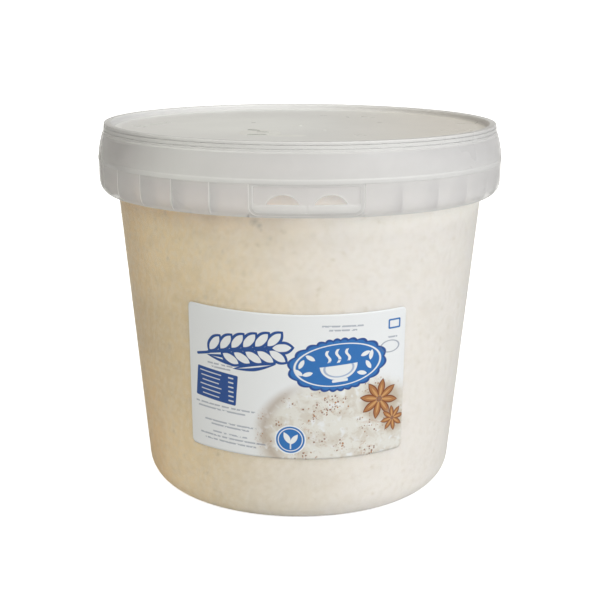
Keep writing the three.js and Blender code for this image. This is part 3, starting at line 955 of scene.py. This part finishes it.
def collar_rows(low):
    """Heights of the collar's rows, one line for each given height in low: five from its foot to the
    sill, foot + (sill - foot) t^1.5, the rest of UNDER_WINDOW on to that height, and ten more on to
    the flange."""
    low = np.atleast_1d(low)[:, None]
    foot = COLLAR_FOOT + (SILL - COLLAR_FOOT) * np.linspace(0, 1, 5) ** 1.5 + 0 * low
    under = SILL + (low - SILL) * np.linspace(0, 1, UNDER_WINDOW - 4)[1:]
    over = low + (FLANGE_UNDERSIDE - low) * np.linspace(0, 1, 11)[1:]
    return np.concatenate([foot, under, over], 1)


def window_stations(half, corner):
    """Distances across the window, closer together in its round corners."""
    bend = half - corner + corner * np.sin(np.linspace(0, math.pi / 2, 9))
    middle = np.linspace(-(half - corner), half - corner, 40)[1:-1]
    return np.concatenate([-bend[::-1], middle, bend])


def tub_profile():
    """Corners of the tub's section, from the axis under the base round to the axis inside, and the
    rows of it that belong to the collar's outer and inner faces."""
    outside = bowl_profile(0, FLANGE_UNDERSIDE, 20)
    inside = bowl_profile(WALL, COLLAR_TOP, 16)[::-1]
    heights = collar_rows(TAB_LOW.z + TAB_CORNER)[0]
    collar_out = sharp(collar_radius(heights), heights)
    collar_in = sharp(collar_radius(heights) - WALL, heights)[::-1]
    neck = [
        [COLLAR_RADIUS, COLLAR_TOP, 0.15 * MM],
        [NECK_RADIUS, COLLAR_TOP, 0.4 * MM],
        [NECK_RADIUS, NECK_TOP, 0.5 * MM],
        [NECK_RADIUS - WALL, NECK_TOP, 0.5 * MM],
        [NECK_RADIUS - WALL, COLLAR_TOP + 2 * WALL, 0.5 * MM],
    ]
    return outside, collar_in, collar_out, np.array(neck), inside


def make_tub_shell(sizes, material):
    """The whole tub moulding as one closed grid: its section carried round the axis, with the
    collar's faces left out in the tab's window and the window's edges joined through the wall."""
    outside, collar_in, collar_out, neck, inside = tub_profile()
    head = eased(np.concatenate([outside, collar_in[:1]]))[1:-1]
    tail = eased(np.concatenate([collar_out[-1:], neck, inside]))[1:-1]
    rows_in, rows_out = collar_in[:, :2], collar_out[:, :2]
    profile = np.concatenate([head, rows_in, rows_out, tail])
    in0, out0 = len(head), len(head) + len(rows_in)
    count, high = len(profile), len(rows_in)

    half = TAB_HALF_WIDTH + FIT
    window = window_stations(half, TAB_CORNER + FIT)
    across = window / COLLAR_RADIUS
    edge = WINDOW_EDGE / COLLAR_RADIUS
    rest = np.linspace(across[-1] + edge, 2 * math.pi + across[0] - edge, sizes.columns)
    angles = np.concatenate([across, rest]) + TAB_CENTRE
    columns, open_columns = len(angles), len(window)
    points = around(profile[:, 0], angles[:, None], profile[:, 1])

    # In the window's columns the collar's lowest rows keep under the window's edge.
    split = UNDER_WINDOW
    z = collar_rows(window_low(window))
    s = np.broadcast_to(window[:, None], z.shape)
    points[:open_columns, out0:out0 + high] = on_collar(s, z, 0.0)
    points[:open_columns, in0:in0 + high] = on_collar(s, z, WALL)[:, ::-1]

    faces = grid_faces(columns, count, wrap_rows=True)
    i, j = faces[:, 0] // count, faces[:, 0] % count
    cut = (i < open_columns - 1) & (
        ((j >= out0 + split - 1) & (j < out0 + high - 1)) | ((j >= in0) & (j < in0 + high - split))
    )
    faces = faces[~cut]

    def outer(i, k):
        return i * count + out0 + k

    def inner(i, k):
        return i * count + in0 + high - 1 - k

    c, k = np.arange(open_columns - 1), np.arange(split - 1, high - 1)
    low, top, end = split - 1, high - 1, open_columns - 1
    sides = [
        (outer(c, low), outer(c + 1, low), inner(c + 1, low), inner(c, low)),
        (outer(c, top), inner(c, top), inner(c + 1, top), outer(c + 1, top)),
        (outer(0, k), inner(0, k), inner(0, k + 1), outer(0, k + 1)),
        (outer(end, k), outer(end, k + 1), inner(end, k + 1), inner(end, k)),
    ]
    faces = np.concatenate([faces, *(np.stack(side, 1) for side in sides), pole_faces(columns, count)])
    flat = np.concatenate([points.reshape(-1, 3), [[0, 0, outside[0, 1]], [0, 0, inside[-1, 1]]]])

    radius = np.hypot(flat[:, 0], flat[:, 1])
    proud = radius - wall_radius(flat[:, 2]) > 4 * MM
    # Painted light: paler up to the flange, lifting the shade under the lid's foot.
    ledge = np.clip((flat[:, 2] - PALE_FROM) / (FLANGE_UNDERSIDE - PALE_FROM), 0, 1)
    lip = 0.6 * np.clip((COLLAR_FOOT + 0.9 * MM - flat[:, 2]) / (0.5 * MM), 0, 1)
    thick = np.where(proud, np.maximum(0.35 * ledge**1.5, lip), 0)
    face = thick[:columns * count].reshape(columns, count)
    face[:open_columns, out0 + split - 1] = brightness(window, window_low(window))
    face[[0, end], out0 + split - 1:out0 + high] = brightness(window[[0, -1]], COLLAR_FOOT)[:, None]
    return add_piece("tub_shell", flat, faces, material, ["tub"], thick)


def make_ribs(sizes, material):
    """Upright webs between the wall and the collar. Web k stands at tab centre + free arc + k * step, and its
    point (u, v) lies between the radii of the wall and the collar at height v. The webs are clearer in the
    front right quarter, where the key light falls, so that they and the shade they cast fade there: painted
    light."""
    angles = TAB_CENTRE + RIB_FREE_ARC + RIB_STEP * np.arange(RIB_COUNT)
    u, v = np.linspace(0, 1, 4), np.linspace(0, 1, 18) ** 1.6
    low, high = COLLAR_FOOT + 0.5 * MM, FLANGE_UNDERSIDE + 0.4 * MM
    z = low + (high - low) * v
    inner, outer = wall_radius(z) - 0.4 * MM, collar_radius(z) - 0.55 * MM
    r = inner[None, :] + (outer - inner)[None, :] * u[:, None]
    points = around(r, angles[:, None, None], z)
    one = grid_faces(len(u), len(v))
    faces = (one[None] + len(u) * len(v) * np.arange(RIB_COUNT)[:, None, None]).reshape(-1, 4)
    clearer = smooth((np.cos(angles - LIT_ARC) - LIT_FROM) / (LIT_TO - LIT_FROM))
    thick = np.broadcast_to((1 - 1.4 * clearer)[:, None, None], points.shape[:3])
    ribs = add_piece("collar_ribs", points, faces, material, ["tub"], thick, solid=False)
    web = ribs.modifiers.new("web", "SOLIDIFY")
    web.thickness, web.offset, web.use_even_offset = sizes.rib, 0.0, True
    return ribs


# ---- Tear-off tab ---------------------------------------------------------------------------------
def tab_outline(inset, corner, count):
    """Points and inward normals round the tab: a box with round lower corners and tight upper ones.
    The path runs down the left side, along the foot and up the right side, then back along the top."""
    half = TAB_HALF_WIDTH - inset
    foot, top = TAB_LOW.z + inset, TAB_HIGH.z - inset
    tight = 0.8 * MM
    pieces = []
    for x, z, radius, start in (
        (-half, foot, corner, math.pi), (half, foot, corner, 1.5 * math.pi),
        (half, top, tight, 0.0), (-half, top, tight, 0.5 * math.pi),
    ):
        a = start + np.linspace(0, math.pi / 2, count)
        cx, cz = x - math.copysign(radius, x), z + (radius if z == foot else -radius)
        ring = np.stack([cx + radius * np.cos(a), cz + radius * np.sin(a), -np.cos(a), -np.sin(a)], 1)
        pieces.append(ring)
    loop = []
    for ring, after in zip(pieces, pieces[1:] + pieces[:1]):
        gap = np.linspace(ring[-1], after[0], 12)[1:-1]
        loop.extend([ring, gap])
    return np.concatenate(loop)


def brightness(s, z):
    """How much the moulded edges round the tab shine: 1 at its left, falling to 0.5 just right of its
    middle, and 0.2 of that along its top."""
    top = np.clip((z - TAB_HIGH.z + 3.5 * MM) / (2 * MM), 0, 1) * (np.abs(s) < TAB_HALF_WIDTH - 2.5 * MM)
    return (1 - 0.5 * smooth((s + 4 * MM) / (12 * MM))) * (1 - 0.8 * top)


def joined(points, faces, values):
    """Merges points that lie within a micrometre of each other, with their values."""
    key = np.round(points / (1e-3 * MM)).astype(np.int64)
    _, first, where = np.unique(key, axis=0, return_index=True, return_inverse=True)
    return points[first], where.ravel()[faces], values[first]


def make_tab_border(sizes, material):
    """The tab's raised edge: a rounded rail section carried along the tab's outline, and kept within
    the same distance a of its sides and top everywhere, which mitres the upper corners."""
    path = tab_outline(-BORDER_REACH, TAB_CORNER + BORDER_REACH, 10)
    width, depth = sizes.tab_border, BORDER_DEPTH
    section = eased([
        (0, depth, 0), (0, 0.35 * depth, 0), (0, 0, 0.14 * MM), (width, 0, 0.4 * MM),
        (width, 0.35 * depth, 0), (width, depth, 0),
    ])
    a, d = section[:, 0], section[:, 1]
    side, top = path[:, 0].max() - a, path[:, 1].max() - a
    s = np.clip(path[:, None, 0] + path[:, None, 2] * a, -side, side)
    z = np.minimum(path[:, None, 1] + path[:, None, 3] * a, top)
    points = on_collar(s, z, d + 0 * s)
    faces = grid_faces(len(path), len(section), wrap_rows=True, wrap_columns=True)
    edge = np.exp(-((np.minimum(a, width - a) / (0.3 * MM)) ** 2) - (d / (0.5 * MM)) ** 2)
    thick = 0.15 + brightness(s, z) * edge
    points, faces, thick = joined(points.reshape(-1, 3), faces, thick.ravel())
    return add_piece("tab_border", points, faces, material, ["tamper_tab"], thick)


def make_tab_plate(sizes, material):
    """The tab's sunk face, in two halves. Each is the grid (1 - r) hole(t) + r outline(t) between its
    finger hole, flat below and arched above, and its half of the tab. Below the holes the face comes
    forward in a lip, with a groove down its middle."""
    steps, rings = 96, 14
    inset = sizes.tab_border * 0.5
    foot, top = TAB_LOW.z + inset, TAB_HIGH.z - inset
    half, corner = TAB_HALF_WIDTH - inset, TAB_CORNER - inset
    angle = 2 * math.pi * np.linspace(0, 1, steps, endpoint=False)
    direction = np.stack([np.cos(angle), np.sin(angle)], 1)
    # Hole: a segment of a big circle, met by rays from a point just above the middle of its flat side.
    big = (HOLE_HALF_WIDTH**2 + HOLE_RISE**2) / (2 * HOLE_RISE)
    eye = np.array([0.0, 1.6 * MM])
    from_centre = eye - [0.0, HOLE_RISE - big]
    along = direction @ from_centre
    reach_arc = -along + np.sqrt(np.maximum(along**2 - from_centre @ from_centre + big**2, 0))
    with np.errstate(divide="ignore"):
        reach_flat = np.where(direction[:, 1] < 0, -eye[1] / direction[:, 1], np.inf)
    hole = eye + direction * np.minimum(reach_arc, reach_flat)[:, None]
    points, faces, thick = [], [], []
    for side in (-1, 1):
        middle = np.array([side * HOLE_OFFSET, HOLE_FOOT])
        origin = middle + eye
        low, high = np.array([min(side * half, 0.0), foot]), np.array([max(side * half, 0.0), top])
        with np.errstate(divide="ignore", invalid="ignore"):
            reach = np.where(direction > 0, high - origin, low - origin) / direction
        edge = origin + direction * np.abs(reach).min(1)[:, None]
        outer_x = side * (half - corner)
        beyond = (edge[:, 0] - outer_x) * side
        dip = (foot + corner) - edge[:, 1]
        round_corner = (beyond > 0) & (dip > 0)
        pull = np.hypot(beyond, dip)
        scale = np.where(round_corner & (pull > corner), corner / np.maximum(pull, 1e-9), 1.0)
        edge[:, 0] = np.where(round_corner, outer_x + side * beyond * scale, edge[:, 0])
        edge[:, 1] = np.where(round_corner, foot + corner - dip * scale, edge[:, 1])
        r = np.linspace(0, 1, rings)[:, None, None] ** 1.3
        grid = (1 - r) * (middle + hole) + r * edge
        lip = np.clip((HOLE_FOOT - grid[..., 1]) / (0.5 * MM), 0, 1)
        groove = lip * np.clip(1 - np.abs(grid[..., 0]) / (0.5 * MM), 0, 1)
        depth = sizes.tab_pocket - 0.12 * MM * lip + 0.25 * MM * groove
        faces.append(grid_faces(rings, steps, wrap_columns=True) + len(points) * rings * steps)
        points.append(on_collar(grid[..., 0], grid[..., 1], depth))
        thick.append(np.maximum(np.exp(-((r[..., 0] / 0.10) ** 2)) * 0.5, 0.45 * lip))
    points = np.array(points).reshape(-1, 3)
    points, faces, thick = joined(points, np.concatenate(faces), np.array(thick).ravel())
    plate = add_piece(
        "tab_plate", points, faces, material, ["tamper_tab"], thick, solid=False
    )
    body = plate.modifiers.new("body", "SOLIDIFY")
    body.thickness, body.offset = TAB_PLATE, -1.0
    return plate


# ---- Lid ------------------------------------------------------------------------------------------
def lid_profile():
    """Corners of the lid's section: the sunk panel, the raised rim with fine ledges down its outside,
    the shoulder, the skirt, the bead at its foot, whose thin lip laps the collar's top edge, and back
    up inside the channel that grips the tub's neck."""
    foot = COLLAR_TOP + 0.05 * MM
    z = np.linspace(SHOULDER - 0.8 * MM, foot + 1.2 * MM, 14)
    skirt = sharp(skirt_radius(z) - SKIRT_INSET, z)
    lining = sharp(skirt_radius(z) - SKIRT_INSET - PANEL, z)[::-1]
    channel = NECK_RADIUS + CLIP_ROOM
    plug = NECK_RADIUS - WALL - FIT
    ceiling = NECK_TOP + 0.4 * MM
    steps = []
    for ledge, above, below in ((206.6, 0.30, 0.16), (204.5, 0.16, 0.02)):
        steps += [
            [RIM_RADIUS - above * MM, (ledge + 0.50) * MM, 0.1 * MM],
            [RIM_RADIUS - (above + 0.10) * MM, (ledge + 0.28) * MM, 0.1 * MM],
            [RIM_RADIUS - below * MM, (ledge - 0.10) * MM, 0.1 * MM],
        ]
    corners = [
        [0, PANEL_TOP, 0],
        [30 * MM, PANEL_TOP, 0],
        [60 * MM, PANEL_TOP, 0],
        [RIM_INNER_RADIUS - 6.2 * MM, PANEL_TOP, 0.3 * MM],
        [RIM_INNER_RADIUS - 5.8 * MM, PANEL_TOP - PANEL_RING, 0.3 * MM],
        [RIM_INNER_RADIUS - 1.6 * MM, PANEL_TOP - PANEL_RING, 0.8 * MM],
        [RIM_INNER_RADIUS - 0.1 * MM, PANEL_TOP + 0.6 * MM, 0.6 * MM],
        [RIM_INNER_RADIUS + 0.2 * MM, HEIGHT, 1.0 * MM],
        [RIM_RADIUS - 0.55 * MM, HEIGHT, 0.3 * MM],
        [RIM_RADIUS - 0.28 * MM, HEIGHT - 0.45 * MM, 0.2 * MM],
        *steps,
        [RIM_RADIUS - 0.02 * MM, SHOULDER + 0.60 * MM, 0.15 * MM],
        [RIM_RADIUS - 0.12 * MM, SHOULDER + 0.40 * MM, 0.15 * MM],
        [SHOULDER_RADIUS - SKIRT_INSET, SHOULDER - 0.20 * MM, 0.20 * MM],
        *skirt,
        [LID_RADIUS - SKIRT_INSET, foot + 0.6 * MM, 0.3 * MM],
        [LID_RADIUS, foot - 0.2 * MM, 0.35 * MM],
        [LID_RADIUS - 0.03 * MM, foot - 1.6 * MM, 0.3 * MM],
        [COLLAR_RADIUS + LIP_GAP, foot - LIP_DROP, 0.05 * MM],
        [COLLAR_RADIUS + LIP_GAP, foot, 0.05 * MM],
        [LID_RADIUS - PANEL, foot, 0.15 * MM],
        *lining,
        [channel, SHOULDER + 0.4 * MM, 0.4 * MM],
        [channel, ceiling, 0.4 * MM],
        [plug, ceiling, 0.4 * MM],
        [plug, PLUG_FOOT, 0.5 * MM],
        [plug - PANEL, PLUG_FOOT, 0.5 * MM],
        [plug - PANEL, PANEL_TOP - PANEL_RING - PANEL, 0.6 * MM],
        [60 * MM, PANEL_TOP - PANEL, 0],
        [30 * MM, PANEL_TOP - PANEL, 0],
        [0, PANEL_TOP - PANEL, 0],
    ]
    return eased(np.array(corners))


def make_lid(sizes, material):
    """The lid, with its `thick` in steps: 1 on the panel, 0.6 on the slope inside the rim, 0.25 outside the
    rim, 0.2 t^2 down the skirt and 0.35 on the bead. Outside it is uneven round the axis, as painted light:
    up to 0.5 more at an arc of -33 degrees for a painted sheen, 0.3 more on the ledges at 20 for painted
    glints, and 0.5 less on the skirt at -57 for a painted dark reflection."""
    profile = lid_profile()
    r, z = profile[:, 0], profile[:, 1]
    outside = r > RIM_RADIUS - 2 * MM
    t = np.clip((SHOULDER - z) / (SHOULDER - COLLAR_TOP), 0, 1)
    places = [
        outside & (z < COLLAR_TOP + 0.5 * MM), outside & (z > SHOULDER - 0.3 * MM), outside,
        r < RIM_INNER_RADIUS - 1.2 * MM, z > PANEL_TOP - 0.5 * MM,
    ]
    thick = np.select(places, [0.35, 0.25, 0.2 * t**2, 1.0, 0.6], 0.15)
    arc = (np.arange(sizes.columns) / sizes.columns * 360 + 180) % 360 - 180
    ledges = outside & (z > SHOULDER + 0.3 * MM)
    # Painted light: a sheen at -33 degrees, glints on the ledges at 20 and a dark reflection on the skirt at
    # -57.
    thick = thick + 0.5 * outside * np.exp(-(((arc + 33) / 17) ** 2))[:, None]
    thick = thick + 0.3 * ledges * np.exp(-(((arc - 20) / 38) ** 4))[:, None]
    thick = thick - 0.5 * outside * (z < SHOULDER - 1 * MM) * np.exp(-(((arc + 57) / 7) ** 2))[:, None]
    return turned("lid_shell", profile, sizes.columns, material, ["lid"], thick)


# Marks that the mould leaves on the panel, in mm: x, y, length, width, height and turn in degrees.
PALE_MARKS = (
    (-21.5, -38.0, 24.0, 34.0, 0.25, 0), (-7.0, -52.0, 22.0, 9.0, 0.2, 0),
    (0.0, 0.0, 2.6, 2.6, 0.3, 0), (13.7, -22.9, 2.2, 2.2, 0.3, 0),
)
# Raised bars whose dark grey is painted shade, standing in for their shaded fronts.
BARS_WITH_PAINTED_SHADE = (
    (-25.0, -27.5, 9.5, 1.6, 0.62, -35), (-20.0, -37.0, 8.0, 1.4, 0.52, -12),
    (-22.5, -50.5, 12.0, 1.6, 0.58, 0),
)


def make_lid_marks(name, marks, material):
    """Flat ovals on the panel. Point (u, v) of each lies at (l/2 u sqrt(1 - v^2/2),
    w/2 v sqrt(1 - u^2/2)), turned, and at the height h (1 - max(|u|, |v|)^6); each is closed below
    the panel."""
    u, v = np.meshgrid(np.linspace(-1, 1, 21), np.linspace(-1, 1, 21), indexing="ij")
    dome = 1 - np.maximum(np.abs(u), np.abs(v)) ** 6
    points, faces = [], []
    for x, y, length, width, height, turn in marks:
        a = math.radians(turn)
        along = u * np.sqrt(1 - v**2 / 2) * length / 2
        aside = v * np.sqrt(1 - u**2 / 2) * width / 2
        top = np.stack([
            x + along * math.cos(a) - aside * math.sin(a),
            y + along * math.sin(a) + aside * math.cos(a),
            PANEL_TOP / MM + height * dome - 0.05,
        ], 2)
        low = top.copy()
        low[..., 2] = PANEL_TOP / MM - 0.3
        faces.append(closed_pad(*u.shape) + 2 * u.size * len(points))
        points.append(np.concatenate([top.reshape(-1, 3), low.reshape(-1, 3)]) * MM)
    points, faces = np.concatenate(points), np.concatenate(faces)
    return add_piece(name, points, faces, material, ["lid"])


# ---- Label ----------------------------------------------------------------------------------------
def make_label(sizes, material):
    """The film wrapped on the cone. s runs round the wall and t up the label;
    z = middle + (t - 1/2) height + s^2 / (2 apex distance) + s tan(tilt), less the corners' lift."""
    half = LABEL_WIDTH / 2
    bend = half - LABEL_CORNER + LABEL_CORNER * np.sin(np.linspace(0, math.pi / 2, 8))
    middle = np.linspace(-(half - LABEL_CORNER), half - LABEL_CORNER, 110)[1:-1]
    s = np.concatenate([-bend[::-1], middle, bend])
    over = np.clip(np.abs(s) - (half - LABEL_CORNER), 0, LABEL_CORNER)
    lift = LABEL_CORNER - np.sqrt(LABEL_CORNER**2 - over**2)
    t = np.linspace(0, 1, 72)
    low, high = lift[:, None], (LABEL_HEIGHT - lift)[:, None]
    up = low + (high - low) * t
    s = s[:, None] + 0 * up
    place = s + LABEL_SHIFT
    z = LABEL_MIDDLE - LABEL_HEIGHT / 2 + up + place**2 / (2 * APEX_DISTANCE) + s * math.tan(LABEL_TILT)
    points = around(wall_radius(z) + sizes.label_film, place / wall_radius(z), z)
    uv = np.stack([(s + half) / LABEL_WIDTH, up / LABEL_HEIGHT], 2)
    faces = grid_faces(*points.shape[:2])
    label = add_piece("wrap_label", points, faces, material, ["label"], uv=uv, solid=False)
    film = label.modifiers.new("film", "SOLIDIFY")
    film.thickness, film.offset = sizes.label_film, -1.0
    return label


# ---- Pudding --------------------------------------------------------------------------------------
def surface_relief(x, y, length):
    """Height of the pudding's top: slow swells, plus a smooth bump for each of many grains.
    Bump = h exp(-(u / a)^2 - (v / b)^2), with u along the grain and v across it."""
    relief = 0.7 * MM * np.sin(x / (31 * MM) + 0.6) * np.cos(y / (27 * MM) - 0.4)
    draw = np.random.default_rng(SEED)
    count = 900
    radius = 100 * MM * np.sqrt(draw.random(count))
    around, turn = draw.random((2, count)) * 2 * math.pi
    height = draw.uniform(0.35, 0.9, count) * MM
    for r, a, w, h in zip(radius, around, turn, height):
        dx, dy = x - r * math.cos(a), y - r * math.sin(a)
        u, v = dx * math.cos(w) + dy * math.sin(w), dy * math.cos(w) - dx * math.sin(w)
        relief = relief + h * np.exp(-((u / (0.38 * length)) ** 2) - (v / (0.17 * length)) ** 2)
    return relief


def make_pudding(sizes, material):
    """The filling: the bowl's inside, reaching half into the wall, closed by its uneven top."""
    bowl = eased(bowl_profile(WALL / 2, sizes.level, 20))
    edge = bowl[-1, 0]
    rings = np.linspace(edge, 0, 96)[1:]
    top = np.stack([rings, np.full(len(rings), sizes.level)], 1)
    profile = np.concatenate([bowl, top])
    pudding = turned("pudding_fill", profile, sizes.columns, material, ["pudding"])
    mesh = pudding.data
    co = np.zeros(len(mesh.vertices) * 3)
    mesh.vertices.foreach_get("co", co)
    co = co.reshape(-1, 3)
    up = co[:, 2] > sizes.level - 0.01 * MM
    co[up, 2] += surface_relief(co[up, 0], co[up, 1], sizes.grain_length)
    mesh.vertices.foreach_set("co", co.ravel())
    mesh.update()
    return pudding


# ---- Stage ----------------------------------------------------------------------------------------
def make_floor():
    """A level square, so wide that its edge stays out of sight."""
    mesh = bpy.data.meshes.new("floor")
    reach = 60.0
    corners = [(-reach, -reach, 0), (reach, -reach, 0), (reach, reach, 0), (-reach, reach, 0)]
    mesh.from_pydata(corners, [], [(0, 1, 2, 3)])
    mesh.materials.append(floor_material())
    floor = bpy.data.objects.new("floor", mesh)
    bpy.context.scene.collection.objects.link(floor)


def make_camera():
    """Looks down by the pitch, rolled slightly, so that the frame matches the tub's fitted view."""
    data = bpy.data.cameras.new("camera")
    data.sensor_fit = "HORIZONTAL"
    data.sensor_width = SENSOR
    data.lens = FOCAL_PIXELS * SENSOR / IMAGE_SIDE
    data.clip_start, data.clip_end = 0.05, 200.0
    camera = bpy.data.objects.new("camera", data)
    bpy.context.scene.collection.objects.link(camera)
    right = Vector((1, 0, 0))
    up = Vector((0, math.sin(CAMERA_PITCH), math.cos(CAMERA_PITCH)))
    x = math.cos(CAMERA_ROLL) * right + math.sin(CAMERA_ROLL) * up
    y = math.cos(CAMERA_ROLL) * up - math.sin(CAMERA_ROLL) * right
    turn = Matrix((x, y, x.cross(y))).transposed()
    camera.matrix_world = Matrix.Translation(CAMERA_PLACE) @ turn.to_4x4()
    bpy.context.scene.camera = camera


def make_lamp(name, azimuth, elevation, distance, size, power, colour):
    """A square soft box. Azimuth is measured from the front towards the right."""
    data = bpy.data.lights.new(name, "AREA")
    data.shape = "SQUARE"
    data.size, data.energy, data.color = size, power, colour
    lamp = bpy.data.objects.new(name, data)
    bpy.context.scene.collection.objects.link(lamp)
    a, e = math.radians(azimuth), math.radians(elevation)
    lamp.location = (
        distance * math.sin(a) * math.cos(e),
        -distance * math.cos(a) * math.cos(e),
        distance * math.sin(e) + 0.1,
    )
    aim = Vector((0, 0, 0.1)) - lamp.location
    lamp.rotation_euler = aim.to_track_quat("-Z", "Y").to_euler()


# Soft light from all round: the way that each broad glow faces, how sharply it falls off, its colour.
GLOWS = (
    ((0.64, -0.76, 0.09), 4.0, (0.35, 0.37, 0.36)),
    ((0.94, -0.34, 0.09), 4.0, (0.71, 0.73, 0.73)),
    ((0.0, -0.64, 0.77), 4.0, (1.81, 1.80, 1.60)),
    ((0.0, 1.0, 0.0), 1.5, (0.495, 0.475, 0.44)),
)


def make_world():
    """White to the eye. As a light, each glow falls off from its middle as max(0, cosine)^sharpness."""
    world = bpy.data.worlds.new("studio")
    bpy.context.scene.world = world
    world.use_nodes = True
    net = Net(world.node_tree)
    shader = world.node_tree.nodes["Background"]
    direction = net.add("TexCoord").outputs["Generated"]
    total = None
    for facing, sharpness, colour in GLOWS:
        cosine = net.vector("DOT_PRODUCT", direction, tuple(Vector(facing).normalized()))
        glow = net.vector("SCALE", colour, Scale=net.math("MAXIMUM", cosine, 0.0) ** sharpness)
        total = glow if total is None else net.vector("ADD", total, glow)
    seen = net.add("LightPath").outputs["Is Camera Ray"]
    net.put(shader.inputs["Color"], net.mix(seen, total, WHITE))


# ---- Operators ------------------------------------------------------------------------------------
def settings(context):
    return context.scene.pudding_tub_sizes, context.scene.pudding_tub_colours


class PUDDINGTUB_OT_tub(bpy.types.Operator):
    """Make the tub's moulding and the ribs in its collar"""

    bl_idname = "pudding_tub.make_tub"
    bl_label = "Tub and ribs"

    def execute(self, context):
        sizes, colours = settings(context)
        material = plastic("tub plastic", colours, 0.52, wet_alpha=0.12, ribs=0.8)
        make_tub_shell(sizes, material)
        make_ribs(sizes, material)
        return {"FINISHED"}


class PUDDINGTUB_OT_tab(bpy.types.Operator):
    """Make the tear-off tab: its sunk plate with two finger holes, and its raised border"""

    bl_idname = "pudding_tub.make_tab"
    bl_label = "Tear-off tab"

    def execute(self, context):
        sizes, colours = settings(context)
        material = plastic("tab plastic", colours, 0.55)
        make_tab_border(sizes, material)
        make_tab_plate(sizes, material)
        return {"FINISHED"}


class PUDDINGTUB_OT_lid(bpy.types.Operator):
    """Make the lid: sunk panel, stepped rim, skirt and the channel that grips the tub"""

    bl_idname = "pudding_tub.make_lid"
    bl_label = "Lid"

    def execute(self, context):
        sizes, colours = settings(context)
        material = plastic("lid plastic", colours, 0.62, streaks=0.05)
        make_lid(sizes, material)
        make_lid_marks("lid_marks", PALE_MARKS, mark_material("pale mark", (0.95, 0.94, 0.93)))
        # The bars' dark grey is painted shade.
        make_lid_marks("lid_bars", BARS_WITH_PAINTED_SHADE, mark_material("grey mark", (0.45, 0.45, 0.44)))
        return {"FINISHED"}


class PUDDINGTUB_OT_label(bpy.types.Operator):
    """Make the printed label that wraps the front of the wall"""

    bl_idname = "pudding_tub.make_label"
    bl_label = "Label"

    def execute(self, context):
        sizes, colours = settings(context)
        make_label(sizes, label_material(colours))
        return {"FINISHED"}


class PUDDINGTUB_OT_pudding(bpy.types.Operator):
    """Make the rice pudding that fills the tub"""

    bl_idname = "pudding_tub.make_pudding"
    bl_label = "Rice pudding"

    def execute(self, context):
        sizes, colours = settings(context)
        make_pudding(sizes, cream_material(sizes, colours))
        return {"FINISHED"}


class PUDDINGTUB_OT_stage(bpy.types.Operator):
    """Make the floor, the lamps, the soft surroundings and the camera"""

    bl_idname = "pudding_tub.make_stage"
    bl_label = "Stage"

    def execute(self, context):
        context.scene.view_settings.view_transform = "Standard"
        context.scene.cycles.transparent_max_bounces = 24
        make_floor()
        make_world()
        make_lamp("key lamp", 50, 38, 1.3, 0.7, 4.36, (0.935, 0.965, 1.0))
        make_camera()
        return {"FINISHED"}


class PUDDINGTUB_PT_sidebar(bpy.types.Panel):
    """Lists the settings and the steps that build the tub"""

    bl_idname = "PUDDINGTUB_PT_sidebar"
    bl_label = "Pudding tub"
    bl_space_type = "VIEW_3D"
    bl_region_type = "UI"
    bl_category = "Pudding tub"

    def draw(self, context):
        for group in settings(context):
            for name in group.__annotations__:
                self.layout.prop(group, name)
        for step in STEPS:
            self.layout.operator(step.bl_idname)


STEPS = (
    PUDDINGTUB_OT_pudding,
    PUDDINGTUB_OT_tub,
    PUDDINGTUB_OT_tab,
    PUDDINGTUB_OT_lid,
    PUDDINGTUB_OT_label,
    PUDDINGTUB_OT_stage,
)
CLASSES = (PuddingTubSizes, PuddingTubColours, *STEPS, PUDDINGTUB_PT_sidebar)


def register():
    for cls in CLASSES:
        bpy.utils.register_class(cls)
    bpy.types.Scene.pudding_tub_sizes = PointerProperty(type=PuddingTubSizes)
    bpy.types.Scene.pudding_tub_colours = PointerProperty(type=PuddingTubColours)


def unregister():
    del bpy.types.Scene.pudding_tub_colours
    del bpy.types.Scene.pudding_tub_sizes
    for cls in reversed(CLASSES):
        bpy.utils.unregister_class(cls)


def main():
    register()
    bpy.ops.pudding_tub.make_pudding()
    bpy.ops.pudding_tub.make_tub()
    bpy.ops.pudding_tub.make_tab()
    bpy.ops.pudding_tub.make_lid()
    bpy.ops.pudding_tub.make_label()
    bpy.ops.pudding_tub.make_stage()


if __name__ == "__main__":
    main()
